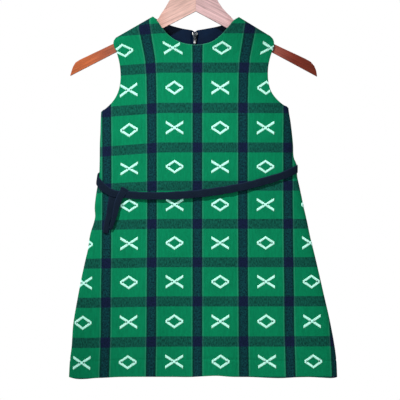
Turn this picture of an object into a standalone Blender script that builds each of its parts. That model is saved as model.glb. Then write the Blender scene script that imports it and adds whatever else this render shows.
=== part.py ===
"""A child's sleeveless flared dress with a narrow tie belt, hanging on a flat wooden hanger.

Frame: metres, +Z up. The front of the dress faces -Y and the viewer's right is +X.
The origin is inside the top of the hanger's hook, where it hangs on a rail.
All sizes below are millimetres, turned to metres as each mesh is made.
Every wall of cloth is a grid of outer points and the same points moved in along the normals,
so that a piece that lies on another follows it with an even gap.
"""

from collections import namedtuple
from math import cos, pi, radians, sin

import bmesh
import bpy
import numpy as np
from mathutils import Matrix, Vector

MM = 0.001

# Driving dimensions, in millimetres
GAP = 0.3
CLOTH = 2.0
LINING = 1.0
HEM_HEIGHT = -756.0
HEM_SAG = 1.5
UNDERARM_ROW = 0.767
LOFT = 2.5
BACK_CENTRE = -2.1
SLIT_HALF = 4.45
ZIP_TAPE = 0.8
ZIP_LENGTH = 300.0
LINING_DEPTH = 78.0
BELT_WIDTH = 13.0
BELT_THICK = 2.4
BOARD_THICK = 12.0
BOARD_ROUND = 2.6
WIRE_RADIUS = 1.8
HOOK_RADIUS = 21.0

# The side seams, looking at the front: where each stands at each height.
Side = namedtuple("Side", "z left right")
SIDES = [
    Side(-757, -221.3, 246.0),
    Side(-719, -219.8, 243.0),
    Side(-663, -214.0, 233.5),
    Side(-608, -203.5, 221.0),
    Side(-552, -191.0, 208.0),
    Side(-496, -181.5, 194.5),
    Side(-441, -175.0, 181.5),
    Side(-385, -169.8, 171.0),
    Side(-330, -168.0, 165.6),
    Side(-285, -164.5, 160.8),
]

# How far the cloth stands out from the plane of the side seams, to the front and to the back.
Depth = namedtuple("Depth", "z front back")
DEPTHS = [
    Depth(-757, 23.5, 21.5),
    Depth(-663, 21.5, 20.0),
    Depth(-552, 19.0, 18.0),
    Depth(-441, 17.5, 16.5),
    Depth(-330, 16.5, 16.0),
    Depth(-285, 14.5, 15.0),
    Depth(-240, 12.0, 13.5),
    Depth(-190, 9.6, 11.6),
    Depth(-150, 8.8, 10.4),
    Depth(-128, 8.6, 10.0),
]

# Outlines of the cut edges, looking at the front.
Point = namedtuple("Point", "x z")
ARMHOLE_LEFT = [
    Point(-165.4, -294.4),
    Point(-154.9, -286.5),
    Point(-143.0, -274.0),
    Point(-135.3, -259.6),
    Point(-131.6, -243.0),
    Point(-131.2, -226.0),
    Point(-134.0, -205.0),
    Point(-138.5, -190.0),
    Point(-143.0, -179.0),
    Point(-143.6, -171.5),
    Point(-140.0, -165.2),
]
ARMHOLE_RIGHT = [
    Point(161.0, -287.4),
    Point(150.0, -280.5),
    Point(140.5, -272.0),
    Point(132.0, -261.0),
    Point(126.8, -247.0),
    Point(125.0, -231.0),
    Point(125.9, -214.0),
    Point(129.5, -198.0),
    Point(133.8, -184.5),
    Point(136.0, -175.5),
    Point(134.8, -168.5),
    Point(130.0, -162.5),
]
NECK_LEFT = Point(-74.9, -127.8)
NECK_RIGHT = Point(74.6, -128.8)
FRONT_NECK = [
    NECK_LEFT,
    Point(-69.5, -133.0),
    Point(-59.0, -147.8),
    Point(-45.6, -162.2),
    Point(-32.4, -170.6),
    Point(-15.7, -176.0),
    Point(4.2, -177.2),
    Point(27.7, -171.8),
    Point(44.2, -159.6),
    Point(56.0, -146.4),
    Point(67.0, -133.8),
    NECK_RIGHT,
]
BACK_NECK_LEFT = [
    NECK_LEFT,
    Point(-66.0, -133.5),
    Point(-42.3, -143.8),
    Point(-24.0, -148.6),
    Point(BACK_CENTRE - SLIT_HALF, -151.6),
]
BACK_NECK_RIGHT = [
    NECK_RIGHT,
    Point(64.0, -134.5),
    Point(41.8, -144.0),
    Point(20.0, -148.6),
    Point(BACK_CENTRE + SLIT_HALF, -151.6),
]
NOTCH_DROP = 3.0

# Routes of the belt along the cloth. lift is the gap under it, at its middle line.
Route = namedtuple("Route", "x z lift")
BELT_FRONT = [
    Route(174.4, -393.6, 0.8),
    Route(152.0, -404.4, 0.6),
    Route(121.9, -413.6, 0.7),
    Route(88.8, -422.7, 1.0),
    Route(47.0, -431.0, 1.2),
    Route(12.2, -435.9, 1.3),
    Route(-27.9, -439.4, 1.2),
    Route(-82.0, -440.3, 0.7),
    Route(-108.6, -439.2, 0.4),
    Route(-128.0, -437.6, 0.4),
]
BELT_SIDE = [
    Route(-128.9, -437.9, 0.4),
    Route(-142.1, -435.3, 0.5),
    Route(-158.1, -427.0, 0.7),
    Route(-171.0, -412.0, 1.1),
]
BELT_BACK = [
    Route(-171.0, -412.0, 1.1),
    Route(-155.0, -400.0, 1.0),
    Route(-120.0, -391.5, 0.8),
    Route(-60.0, -385.5, 0.8),
    Route(0.0, -383.5, 0.8),
    Route(60.0, -384.0, 0.8),
    Route(120.0, -386.5, 0.7),
    Route(155.0, -389.8, 0.8),
    Route(174.4, -393.6, 0.8),
]
BELT_KNOT = [
    Route(-117.5, -427.2, 0.4),
    Route(-125.5, -425.6, 0.6),
    Route(-134.0, -427.0, 0.4),
]
TAIL_FRONT = [
    Route(-126.0, -424.0, 3.3),
    Route(-130.6, -441.0, 3.3),
    Route(-136.5, -458.0, 3.2),
    Route(-141.6, -474.0, 3.1),
    Route(-146.5, -488.0, 3.0),
    Route(-149.0, -498.0, 3.0),
]
TAIL_REAR = [
    Route(-149.6, -440.6, 0.4),
    Route(-152.0, -456.0, 0.4),
    Route(-155.2, -475.0, 0.4),
    Route(-157.6, -491.0, 0.4),
    Route(-156.6, -506.0, 0.4),
]
KNOT_WIDTH = 7.4
TAIL_WIDTH = 13.4
TAIL_THICK = 2.2
TAIL_END_WIDTH = 9.5
TAIL_CUT = radians(-26.0)

# The hanger's board, from the top of its head down each side, then straight to the inner corner.
BOARD_TOP = Point(0.0, -73.5)
BOARD_CORNER = Point(-0.3, -119.2)
BOARD_LEFT = [
    Point(-14.0, -75.0),
    Point(-26.0, -79.5),
    Point(-36.0, -87.0),
    Point(-43.0, -95.5),
    Point(-48.8, -105.0),
    Point(-54.3, -114.5),
    Point(-60.2, -123.0),
    Point(-64.6, -130.5),
    Point(-71.5, -138.0),
    Point(-85.0, -145.2),
    Point(-105.0, -155.6),
    Point(-125.0, -166.2),
    Point(-143.5, -175.6),
    Point(-165.0, -186.0),
    Point(-185.0, -195.5),
    Point(-202.0, -203.6),
    Point(-209.5, -208.4),
    Point(-213.8, -215.5),
    Point(-217.0, -225.0),
    Point(-218.8, -231.6),
]
BOARD_RIGHT = [
    Point(12.0, -75.0),
    Point(21.0, -79.5),
    Point(29.0, -87.0),
    Point(34.8, -95.5),
    Point(39.5, -104.0),
    Point(46.0, -113.6),
    Point(54.0, -122.4),
    Point(61.0, -129.2),
    Point(67.5, -137.0),
    Point(80.0, -144.2),
    Point(100.0, -155.6),
    Point(118.0, -166.2),
    Point(134.6, -175.8),
    Point(155.0, -185.4),
    Point(175.0, -194.6),
    Point(191.0, -202.2),
    Point(199.5, -207.0),
    Point(205.6, -214.0),
    Point(209.3, -223.0),
    Point(210.7, -232.8),
]

# The zip's slider and pull, measured from the pull's axis.
PULL_AXIS = Point(BACK_CENTRE, -161.5)
SLIDER_THICK = 3.2
BAIL_RADIUS = 1.7
BAIL_WIRE = 0.55
PULL_STANDOFF = 0.9
PULL_THICK = 0.9
SLIDER_OUTLINE = [
    Point(-4.7, 5.6),
    Point(-4.9, 3.4),
    Point(-3.6, 0.4),
    Point(-2.7, -2.6),
    Point(-2.6, -4.4),
    Point(2.6, -4.4),
    Point(2.7, -2.6),
    Point(3.6, 0.4),
    Point(4.9, 3.4),
    Point(4.7, 5.6),
    Point(2.6, 6.0),
    Point(1.2, 4.6),
    Point(-1.2, 4.6),
    Point(-2.6, 6.0),
]
PULL_OUTLINE = [
    Point(-2.1, 0.45),
    Point(-2.1, -3.2),
    Point(-1.2, -4.6),
    Point(-1.0, -7.6),
    Point(-1.9, -9.6),
    Point(-2.2, -11.8),
    Point(-1.5, -13.6),
    Point(0.0, -14.1),
    Point(1.5, -13.6),
    Point(2.2, -11.8),
    Point(1.9, -9.6),
    Point(1.0, -7.6),
    Point(1.2, -4.6),
    Point(2.1, -3.2),
    Point(2.1, 0.45),
]
PULL_EYE = [
    Point(-1.25, -0.45),
    Point(-1.25, -2.8),
    Point(1.25, -2.8),
    Point(1.25, -0.45),
]

# Fineness of the grids
FRONT_COLUMNS = 30
SHOULDER_COLUMNS = 8
SIDE_CROWDING = 0.85
ROLL_DISTANCES = (0.0, 1.3, 4.0, 8.5, 15.0)
ARMHOLE_ROWS = 7
SKIRT_ROWS = 17
PANEL_RISE = 600.0
SECTION_STEPS = 720
STRAP_EVEN = 0.35
STRAP_TRIM = 0.6 * GAP
TAPER_FROM = 0.6

# A strap's section: shares of its width, from its middle, and of its thickness, from its underside.
STRAP_PROFILE = ((-0.5, 0.5), (-0.45, 0.0), (0.45, 0.0), (0.5, 0.5), (0.45, 1.0), (-0.45, 1.0))

# Soft waves in the skirt, and where they begin
WAVE_HEIGHT = 2.6
WAVE_COUNT = 3.5
WAVE_TOP = -490.0
WAVE_FULL = -740.0
ARM_BLEND_LOW = -300.0
ARM_BLEND_HIGH = -215.0

COLOURS = {
    "green": (0.004, 0.235, 0.095),
    "navy": (0.008, 0.017, 0.040),
    "steel": (0.62, 0.62, 0.64),
    "board_left": (0.50, 0.15, 0.06),
    "board_right": (0.22, 0.06, 0.035),
}


def clear_scene():
    """Start from an empty scene."""
    for old in list(bpy.data.objects):
        bpy.data.objects.remove(old)


def new_collection(name):
    """A collection linked to the scene."""
    collection = bpy.data.collections.new(name)
    bpy.context.scene.collection.children.link(collection)
    return collection


def principled(name, colour, roughness, metallic=0.0):
    """A plain Principled material."""
    material = bpy.data.materials.new(name)
    material.use_nodes = True
    shader = material.node_tree.nodes["Principled BSDF"]
    shader.inputs["Base Color"].default_value = (*colour, 1.0)
    shader.inputs["Roughness"].default_value = roughness
    shader.inputs["Metallic"].default_value = metallic
    return material


def blend(low, high, value):
    """0 at low, 1 at high, easing in and out."""
    f = np.clip((value - low) / (high - low), 0.0, 1.0)
    return f * f * (3.0 - 2.0 * f)


def through(knots, values, at):
    """A smooth curve through values at rising knots, read at the given places."""
    slopes = np.gradient(values, knots)
    k = np.clip(np.searchsorted(knots, at) - 1, 0, len(knots) - 2)
    width = knots[k + 1] - knots[k]
    f = np.clip((at - knots[k]) / width, 0.0, 1.0)
    start = (1 + 2 * f) * (1 - f) ** 2 * values[k] + f * (1 - f) ** 2 * width * slopes[k]
    end = f * f * (3 - 2 * f) * values[k + 1] + f * f * (f - 1) * width * slopes[k + 1]
    return start + end


def column_of(table, name, z):
    """One column of a table of heights, read at any height."""
    knots = np.array([row.z for row in table], float)
    values = np.array([getattr(row, name) for row in table], float)
    return through(knots, values, np.asarray(z, float))


def smooth_line(points, fractions):
    """Points of any width on a smooth curve through the given ones, at shares of its length."""
    corners = np.array([tuple(point) for point in points], float)
    run = np.r_[0.0, np.cumsum(np.linalg.norm(np.diff(corners[:, :2], axis=0), axis=1))]
    fine = np.linspace(0.0, run[-1], 40 * len(corners))
    curve = np.column_stack([through(run, corners[:, k], fine) for k in range(corners.shape[1])])
    length = np.r_[0.0, np.cumsum(np.linalg.norm(np.diff(curve[:, :2], axis=0), axis=1))]
    at = np.asarray(fractions) * length[-1]
    return np.column_stack([np.interp(at, length, curve[:, k]) for k in range(corners.shape[1])])


def section_shares(z):
    """The middle and the half width of the dress at each height."""
    left = column_of(SIDES, "left", z)
    right = column_of(SIDES, "right", z)
    return (left + right) / 2, (right - left) / 2


def shoulder_drop(x, z):
    """How far a point lies below the shoulder line on its side."""
    left_tip, right_tip = ARMHOLE_LEFT[-1], ARMHOLE_RIGHT[-1]
    left_slope = (NECK_LEFT.z - left_tip.z) / (NECK_LEFT.x - left_tip.x)
    right_slope = (NECK_RIGHT.z - right_tip.z) / (NECK_RIGHT.x - right_tip.x)
    left = (left_tip.z + left_slope * (x - left_tip.x) - z) / np.hypot(1.0, left_slope)
    right = (right_tip.z + right_slope * (x - right_tip.x) - z) / np.hypot(1.0, right_slope)
    return np.maximum(np.where(x < 0.0, left, right), 0.0)


def stand_out(x, z, face):
    """How far the outside of the cloth stands from the seam plane, for the front or the back."""
    middle, half = section_shares(z)
    across = np.clip(np.abs(x - middle) / half, 0.0, 1.0)
    rounded = (1.0 - across**LOFT) ** (1.0 / LOFT)
    side = rounded ** (1.0 - blend(ARM_BLEND_LOW, ARM_BLEND_HIGH, z))
    depth = column_of(DEPTHS, face, z)
    turn = np.clip(shoulder_drop(x, z) / depth, 0.0, 1.0)
    over = np.sqrt(1.0 - (1.0 - turn) ** 2)
    phase = 0.4 if face == "front" else 2.1
    wave = np.sin(2 * pi * WAVE_COUNT * (x - middle) / (2 * half) + phase)
    soft = WAVE_HEIGHT * blend(WAVE_TOP, WAVE_FULL, z) * (1.0 - across**2)
    return depth * side * over + soft * wave


def cloth_points(flat, face):
    """Points in space for a grid of places on the front view."""
    x, z = flat[..., 0], flat[..., 1]
    out = stand_out(x, z, face)
    y = -out if face == "front" else out
    return np.stack([x, y, z], axis=-1)


def patch(bottom, top, left, right, s, t):
    """A grid of flat points between four edges. s runs along the bottom, t up the sides."""
    s, t = s[None, :, None], t[:, None, None]
    corners = (1 - s) * (1 - t) * bottom[0] + s * (1 - t) * bottom[-1]
    corners = corners + (1 - s) * t * top[0] + s * t * top[-1]
    sides = (1 - s) * left[:, None] + s * right[:, None]
    ends = (1 - t) * bottom[None] + t * top[None]
    return sides + ends - corners


def row_shares():
    """Shares of the panel's rise for its rows: crowded at the top, where the shoulder turns."""
    roll = [1.0 - distance / PANEL_RISE for distance in ROLL_DISTANCES]
    armhole = np.linspace(roll[-1], UNDERARM_ROW, ARMHOLE_ROWS + 1)[1:]
    skirt = np.linspace(UNDERARM_ROW, 0.0, SKIRT_ROWS + 1)[1:]
    return np.array(list(roll) + list(armhole) + list(skirt))[::-1]


def column_shares(count):
    """Shares of the panel's width for its columns: crowded at the side seams."""
    even = np.linspace(-1.0, 1.0, count + 1)
    crowded = np.sin(even * pi / 2)
    return 0.5 + 0.5 * ((1 - SIDE_CROWDING) * even + SIDE_CROWDING * crowded)


def side_edge(name, armhole, rows):
    """The side seam, then the armhole, as one point for each row."""
    underarm = armhole[0]
    points = []
    for share in rows:
        if share <= UNDERARM_ROW:
            z = HEM_HEIGHT + (underarm.z - HEM_HEIGHT) * share / UNDERARM_ROW
            points.append((float(column_of(SIDES, name, z)), z))
        else:
            along = (share - UNDERARM_ROW) / (1 - UNDERARM_ROW)
            points.append(tuple(smooth_line(armhole, [along])[0]))
    return np.array(points)


def straight(start, end, shares):
    """Points between two ends at the given shares."""
    start, end = np.array(start, float), np.array(end, float)
    return start + np.asarray(shares)[:, None] * (end - start)


def hem_edge(start, end, shares):
    """The hem between two ends, lower in its middle."""
    line = straight(start, end, shares)
    hem = SIDES[0]
    across = np.clip((line[:, 0] - hem.left) / (hem.right - hem.left), 0.0, 1.0)
    line[:, 1] -= HEM_SAG * np.sin(pi * across)
    return line


def rest_of(shares, first, last):
    """Part of a run of shares, stretched to run from 0 to 1."""
    piece = shares[first : last + 1]
    return (piece - piece[0]) / (piece[-1] - piece[0])


def neck_shares(columns, both_ends):
    """Shares of a neck edge for its columns: crowded at the neck points, where the cloth turns over."""
    steps = np.linspace(0.0, 1.0, columns + 1)
    if both_ends:
        return 0.5 - 0.5 * np.cos(pi * steps)
    return 1.0 - np.cos(pi / 2 * steps)


def front_flat():
    """The front panel's grid on the front view."""
    rows, s = row_shares(), column_shares(FRONT_COLUMNS)
    left = side_edge("left", ARMHOLE_LEFT, rows)
    right = side_edge("right", ARMHOLE_RIGHT, rows)
    last = FRONT_COLUMNS - SHOULDER_COLUMNS
    first_shoulder = straight(ARMHOLE_LEFT[-1], NECK_LEFT, rest_of(s, 0, SHOULDER_COLUMNS))
    neck = smooth_line(FRONT_NECK, neck_shares(last - SHOULDER_COLUMNS, True))
    end_shoulder = straight(NECK_RIGHT, ARMHOLE_RIGHT[-1], rest_of(s, last, FRONT_COLUMNS))
    top = np.vstack([first_shoulder[:-1], neck, end_shoulder[1:]])
    bottom = hem_edge(left[0], right[0], s)
    return patch(bottom, top, left, right, s, rows)


def back_flat(name, armhole, neck):
    """One back panel's grid on the front view, from the side seam to the centre back."""
    rows = row_shares()
    s = 2 * column_shares(FRONT_COLUMNS)[: FRONT_COLUMNS // 2 + 1]
    outward = -1.0 if name == "left" else 1.0
    side = side_edge(name, armhole, rows)
    shoulder = straight(armhole[-1], neck[0], rest_of(s, 0, SHOULDER_COLUMNS))
    curve = smooth_line(neck, neck_shares(len(s) - 1 - SHOULDER_COLUMNS, False))
    top = np.vstack([shoulder[:-1], curve])
    slit = straight((BACK_CENTRE + outward * SLIT_HALF, HEM_HEIGHT - HEM_SAG), neck[-1], rows)
    bottom = hem_edge(side[0], slit[0], s)
    slit[0] = bottom[-1]
    body = patch(bottom, top, side, slit, s, rows)
    edge = slit.copy()
    edge[:, 0] = BACK_CENTRE + outward * GAP / 2
    edge[:, 1] -= NOTCH_DROP * blend(0.97, 1.0, rows)
    return np.concatenate([body, edge[:, None]], axis=1)


def grid_normals(points, face):
    """Outward normals of a grid of points that faces the given way."""
    along = np.gradient(points, axis=1)
    up = np.gradient(points, axis=0)
    normal = np.cross(along, up)
    normal /= np.linalg.norm(normal, axis=-1, keepdims=True)
    wanted = -1.0 if face == "front" else 1.0
    turned = np.sign(np.mean(normal[..., 1])) != wanted
    return -normal if turned else normal


def flatten(normals, where, axis):
    """Turn the chosen normals square to an axis, so that a seam's faces lie in one plane."""
    chosen = normals[where]
    chosen[..., axis] = 0.0
    normals[where] = chosen / np.linalg.norm(chosen, axis=-1, keepdims=True)


def front_grid():
    """The front's outer points and normals."""
    points = cloth_points(front_flat(), "front")
    normals = grid_normals(points, "front")
    seam_rows = row_shares() <= UNDERARM_ROW + 1e-9
    last = FRONT_COLUMNS - SHOULDER_COLUMNS
    for seam in (
        (seam_rows, 0),
        (seam_rows, -1),
        (-1, slice(0, SHOULDER_COLUMNS + 1)),
        (-1, slice(last, None)),
    ):
        points[seam + (1,)] = -GAP / 2
        flatten(normals, seam, 1)
    return points, normals


def back_grid(name, armhole, neck):
    """One back panel's outer points and normals."""
    points = cloth_points(back_flat(name, armhole, neck), "back")
    normals = grid_normals(points, "back")
    seam_rows = row_shares() <= UNDERARM_ROW + 1e-9
    for seam in ((seam_rows, 0), (-1, slice(0, SHOULDER_COLUMNS + 1))):
        points[seam + (1,)] = GAP / 2
        flatten(normals, seam, 1)
    flatten(normals, (slice(None), -1), 0)
    return points, normals


def build_mesh(name, vertices, faces, material, collection, angle=40.0):
    """A named object from vertices in millimetres, shaded smooth except at sharp edges."""
    work = bmesh.new()
    placed = [work.verts.new(Vector(vertex) * MM) for vertex in np.asarray(vertices, float)]
    for face in faces:
        work.faces.new([placed[k] for k in face])
    bmesh.ops.recalc_face_normals(work, faces=work.faces)
    mesh = bpy.data.meshes.new(name)
    work.to_mesh(mesh)
    work.free()
    return add_object(name, mesh, material, collection, angle)


def add_object(name, mesh, material, collection, angle=40.0):
    """Link a mesh as an object with its material."""
    mesh.materials.clear()
    mesh.materials.append(material)
    mesh.shade_smooth()
    mesh.set_sharp_from_angle(angle=radians(angle))
    made = bpy.data.objects.new(name, mesh)
    collection.objects.link(made)
    return made


def slab(name, outer, inner, material, collection):
    """A closed wall between two grids of points of the same size."""
    rows, columns = outer.shape[:2]
    vertices = np.vstack([outer.reshape(-1, 3), inner.reshape(-1, 3)])
    back = rows * columns
    faces = []
    for r in range(rows - 1):
        for c in range(columns - 1):
            a = r * columns + c
            quad = (a, a + 1, a + columns + 1, a + columns)
            faces.append(quad)
            faces.append(tuple(back + k for k in reversed(quad)))
    rim = [c for c in range(columns)]
    rim += [r * columns + columns - 1 for r in range(1, rows)]
    rim += [(rows - 1) * columns + c for c in range(columns - 2, -1, -1)]
    rim += [r * columns for r in range(rows - 2, 0, -1)]
    for a, b in zip(rim, rim[1:] + rim[:1]):
        faces.append((b, a, back + a, back + b))
    return build_mesh(name, vertices, faces, material, collection)


def add_panels(cloth, lining, collection):
    """The front, the two backs, and the lining and zip tapes inside the backs."""
    points, normals = front_grid()
    slab("dress_front", points, points - CLOTH * normals, cloth, collection)
    sides = (("left", ARMHOLE_LEFT, BACK_NECK_LEFT), ("right", ARMHOLE_RIGHT, BACK_NECK_RIGHT))
    for name, armhole, neck in sides:
        points, normals = back_grid(name, armhole, neck)
        slab("dress_back_" + name, points, points - CLOTH * normals, cloth, collection)
        add_neck_lining(name, points, normals, lining, collection)
        add_zip_tape(name, points, normals, lining, collection)


def add_neck_lining(name, points, normals, material, collection):
    """The lining that shows inside the back neck, from just past the neck point to the zip's slit."""
    top = points[-1, -2, 2]
    first_row = int(np.argmin(np.abs(points[:, -2, 2] - (top - LINING_DEPTH))))
    window = (slice(first_row, None), slice(SHOULDER_COLUMNS + 2, -1))
    face = CLOTH + GAP
    outer = points[window] - face * normals[window]
    inner = points[window] - (face + LINING) * normals[window]
    slab("neck_lining_" + name, outer, inner, material, collection)


def add_zip_tape(name, points, normals, material, collection):
    """The zip's tape in the slit, from the centre back out to the lining's edge."""
    top = points[-1, -1, 2]
    first_row = int(np.argmin(np.abs(points[:, -1, 2] - (top - ZIP_LENGTH))))
    rows = slice(first_row, None)
    lateral = np.abs(points[rows, -2, 0] - points[rows, -1, 0])[:, None]
    edge_share = 1.0 - GAP / lateral
    centre, slit = points[rows, -1], points[rows, -2]
    outside = centre + edge_share * (slit - centre)
    normal = normals[rows, -1]
    strip = np.stack([centre, outside], axis=1)
    both = np.stack([normal, normal], axis=1)
    face = CLOTH + GAP
    slab("zip_tape_" + name, strip - face * both, strip - (face + ZIP_TAPE) * both, material, collection)


def ring(z):
    """A fine ring of the dress's outside at one height: front middle first, then to the right."""
    angle = np.linspace(0.0, 2 * pi, SECTION_STEPS, endpoint=False)
    across = np.sign(np.sin(angle)) * np.abs(np.sin(angle)) ** (2 / LOFT)
    middle, half = section_shares(z)
    x = middle + half * across
    forward = np.cos(angle) >= 0.0
    y = np.where(forward, -stand_out(x, z, "front"), stand_out(x, z, "back"))
    return np.column_stack([x, y])


def ring_lengths(z):
    """The ring and the length round it at each of its points, 0 at the front middle."""
    points = ring(z)
    closed = np.vstack([points, points[:1]])
    length = np.r_[0.0, np.cumsum(np.linalg.norm(np.diff(closed, axis=0), axis=1))]
    return closed, length


def on_ring(way, z):
    """The point at a signed length round the dress from its front middle."""
    closed, length = ring_lengths(z)
    at = way % length[-1]
    x = np.interp(at, length, closed[:, 0])
    y = np.interp(at, length, closed[:, 1])
    return np.array([x, y, z])


def way_to(x, z, face):
    """The signed length round the dress to a place on its front or its back."""
    closed, length = ring_lengths(z)
    quarter = SECTION_STEPS // 4
    if face == "front":
        xs = np.r_[closed[3 * quarter : -1, 0], closed[: quarter + 1, 0]]
        ways = np.r_[length[3 * quarter : -1] - length[-1], length[: quarter + 1]]
        return float(np.interp(x, xs, ways))
    xs = closed[quarter : 3 * quarter + 1, 0][::-1]
    ways = length[quarter : 3 * quarter + 1][::-1]
    return float(np.interp(x, xs, ways))


def outward_at(way, z):
    """The cloth's outward normal at a place on the unrolled dress."""
    reach = 0.5
    along = on_ring(way + reach, z) - on_ring(way - reach, z)
    up = on_ring(way, z + reach) - on_ring(way, z - reach)
    normal = np.cross(along, up)
    return normal / np.linalg.norm(normal)


def strap(
    name, route, face, width, thick, stations, material, collection,
    upright=False, first_cut=None, end_width=None,
):
    """A strap that lies on the dress along a route, worked out on the unrolled cloth.

    An upright strap is cut straight up and down all along and has its stations crowded at its ends,
    where it turns round the side seams. first_cut is the direction of its first end,
    and end_width narrows its last end.
    """
    path = np.array([(way_to(p.x, p.z, face), p.z, p.lift) for p in route])
    path[0, 0] += np.sign(path[1, 0] - path[0, 0]) * STRAP_TRIM
    path[-1, 0] += np.sign(path[-2, 0] - path[-1, 0]) * STRAP_TRIM
    even = np.linspace(-1.0, 1.0, stations)
    shares = 0.5 + 0.5 * (STRAP_EVEN * even + (1 - STRAP_EVEN) * np.sin(even * pi / 2))
    line = smooth_line(path, shares if upright else 0.5 + 0.5 * even)
    flow = np.gradient(line[:, :2], axis=0)
    flow /= np.linalg.norm(flow, axis=1, keepdims=True)
    side = np.column_stack([-flow[:, 1], flow[:, 0]])
    if upright:
        side = np.column_stack([np.zeros(stations), 1.0 / side[:, 1]])
    if first_cut is not None:
        side[0] = np.array(first_cut) / np.dot(first_cut, side[0])
    widths = np.full(stations, width)
    if end_width is not None:
        widths = width + (end_width - width) * blend(TAPER_FROM, 1.0, shares)
    vertices = []
    for k in range(stations):
        for share, rise in STRAP_PROFILE:
            way = line[k, 0] + side[k, 0] * share * widths[k]
            z = line[k, 1] + side[k, 1] * share * widths[k]
            lifted = line[k, 2] + rise * thick
            vertices.append(on_ring(way, z) + lifted * outward_at(way, z))
    return build_mesh(name, vertices, tube_faces(stations, len(STRAP_PROFILE)), material, collection)


def tube_faces(stations, corners):
    """Faces of a closed tube of rings joined one to the next, with a cap at each end."""
    faces = []
    for k in range(stations - 1):
        for c in range(corners):
            a, b = k * corners + c, k * corners + (c + 1) % corners
            faces.append((a, b, b + corners, a + corners))
    faces.append(tuple(range(corners))[::-1])
    faces.append(tuple((stations - 1) * corners + c for c in range(corners)))
    return faces


def add_belt(material, collection):
    """The belt's stretches round the waist, its tie and its two hanging ends."""
    waist = (BELT_WIDTH, BELT_THICK)
    hanging = (TAIL_WIDTH, TAIL_THICK)
    under_side = (cos(TAIL_CUT), sin(TAIL_CUT))
    strap("belt_front", BELT_FRONT, "front", *waist, 46, material, collection, upright=True)
    strap("belt_side", BELT_SIDE, "front", *waist, 18, material, collection, upright=True)
    strap("belt_back", BELT_BACK, "back", *waist, 48, material, collection, upright=True)
    strap("belt_knot", BELT_KNOT, "front", KNOT_WIDTH, BELT_THICK, 9, material, collection)
    strap("belt_tail_front", TAIL_FRONT, "front", *hanging, 16, material, collection,
          end_width=TAIL_END_WIDTH)
    strap("belt_tail_rear", TAIL_REAR, "front", *hanging, 15, material, collection,
          first_cut=under_side, end_width=TAIL_END_WIDTH)


def flat_shape(name, outlines, thickness, collection):
    """A mesh from flat outlines on the front view, filled, and as thick as given."""
    curve = bpy.data.curves.new(name, "CURVE")
    curve.dimensions = "2D"
    curve.fill_mode = "BOTH"
    curve.extrude = thickness / 2 * MM
    for outline in outlines:
        spline = curve.splines.new("POLY")
        spline.points.add(len(outline) - 1)
        for point, place in zip(spline.points, outline):
            point.co = (place[0] * MM, place[1] * MM, 0.0, 1.0)
        spline.use_cyclic_u = True
    guide = bpy.data.objects.new(name + "_outline", curve)
    guide.matrix_world = Matrix.Rotation(radians(90), 4, "X")
    collection.objects.link(guide)
    return curve_to_mesh(name, guide)


def curve_to_mesh(name, guide):
    """The welded mesh of a curve object, which it replaces."""
    bpy.context.view_layer.update()
    evaluated = guide.evaluated_get(bpy.context.evaluated_depsgraph_get())
    mesh = bpy.data.meshes.new_from_object(evaluated)
    mesh.name = name
    mesh.transform(guide.matrix_world)
    curve = guide.data
    bpy.data.objects.remove(guide)
    bpy.data.curves.remove(curve)
    work = bmesh.new()
    work.from_mesh(mesh)
    bmesh.ops.remove_doubles(work, verts=work.verts, dist=0.00001)
    work.to_mesh(mesh)
    work.free()
    return mesh


def round_edges(mesh, width, segments):
    """Round every edge sharper than 40 degrees."""
    work = bmesh.new()
    work.from_mesh(mesh)
    sharp = [edge for edge in work.edges if edge.calc_face_angle(0.0) > radians(40)]
    bmesh.ops.bevel(
        work, geom=sharp, offset=width * MM, segments=segments, profile=0.5, affect="EDGES",
        clamp_overlap=True,
    )
    work.to_mesh(mesh)
    work.free()


def keep_half(mesh, x, keep):
    """Cut a mesh at a plane across X, keep one side and close the cut."""
    work = bmesh.new()
    work.from_mesh(mesh)
    cut = bmesh.ops.bisect_plane(
        work, geom=work.verts[:] + work.edges[:] + work.faces[:], dist=0.0000001,
        plane_co=(x * MM, 0, 0), plane_no=(keep, 0, 0), clear_inner=True,
    )
    border = [item for item in cut["geom_cut"] if isinstance(item, bmesh.types.BMEdge)]
    bmesh.ops.contextual_create(work, geom=border)
    bmesh.ops.recalc_face_normals(work, faces=work.faces)
    work.to_mesh(mesh)
    work.free()


def add_hanger(left_wood, right_wood, metal, wood_guides, collection):
    """Two flat boards mitred at the middle, and the wire hook on their top."""
    outline = [BOARD_TOP] + BOARD_RIGHT + [BOARD_CORNER] + BOARD_LEFT[::-1]
    board = flat_shape("board", [outline], BOARD_THICK, wood_guides)
    round_edges(board, BOARD_ROUND, 3)
    for name, material, keep in (
        ("hanger_arm_left", left_wood, -1.0),
        ("hanger_arm_right", right_wood, 1.0),
    ):
        half = board.copy()
        half.name = name
        keep_half(half, BOARD_CORNER.x + keep * GAP / 2, keep)
        add_object(name, half, material, collection)
    bpy.data.meshes.remove(board)
    centre = WIRE_RADIUS - HOOK_RADIUS
    arc = [
        (HOOK_RADIUS * cos(radians(a)), centre + HOOK_RADIUS * sin(radians(a)))
        for a in range(-45, 206, 10)
    ]
    stem = [(0.0, BOARD_TOP.z + GAP), (0.0, -64.0), (0.2, -54.0), (3.4, -44.6)]
    route = smooth_line(stem + arc, np.linspace(0.0, 1.0, 34))
    add_wire("hanger_hook", route, WIRE_RADIUS, metal, wood_guides, collection)


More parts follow.
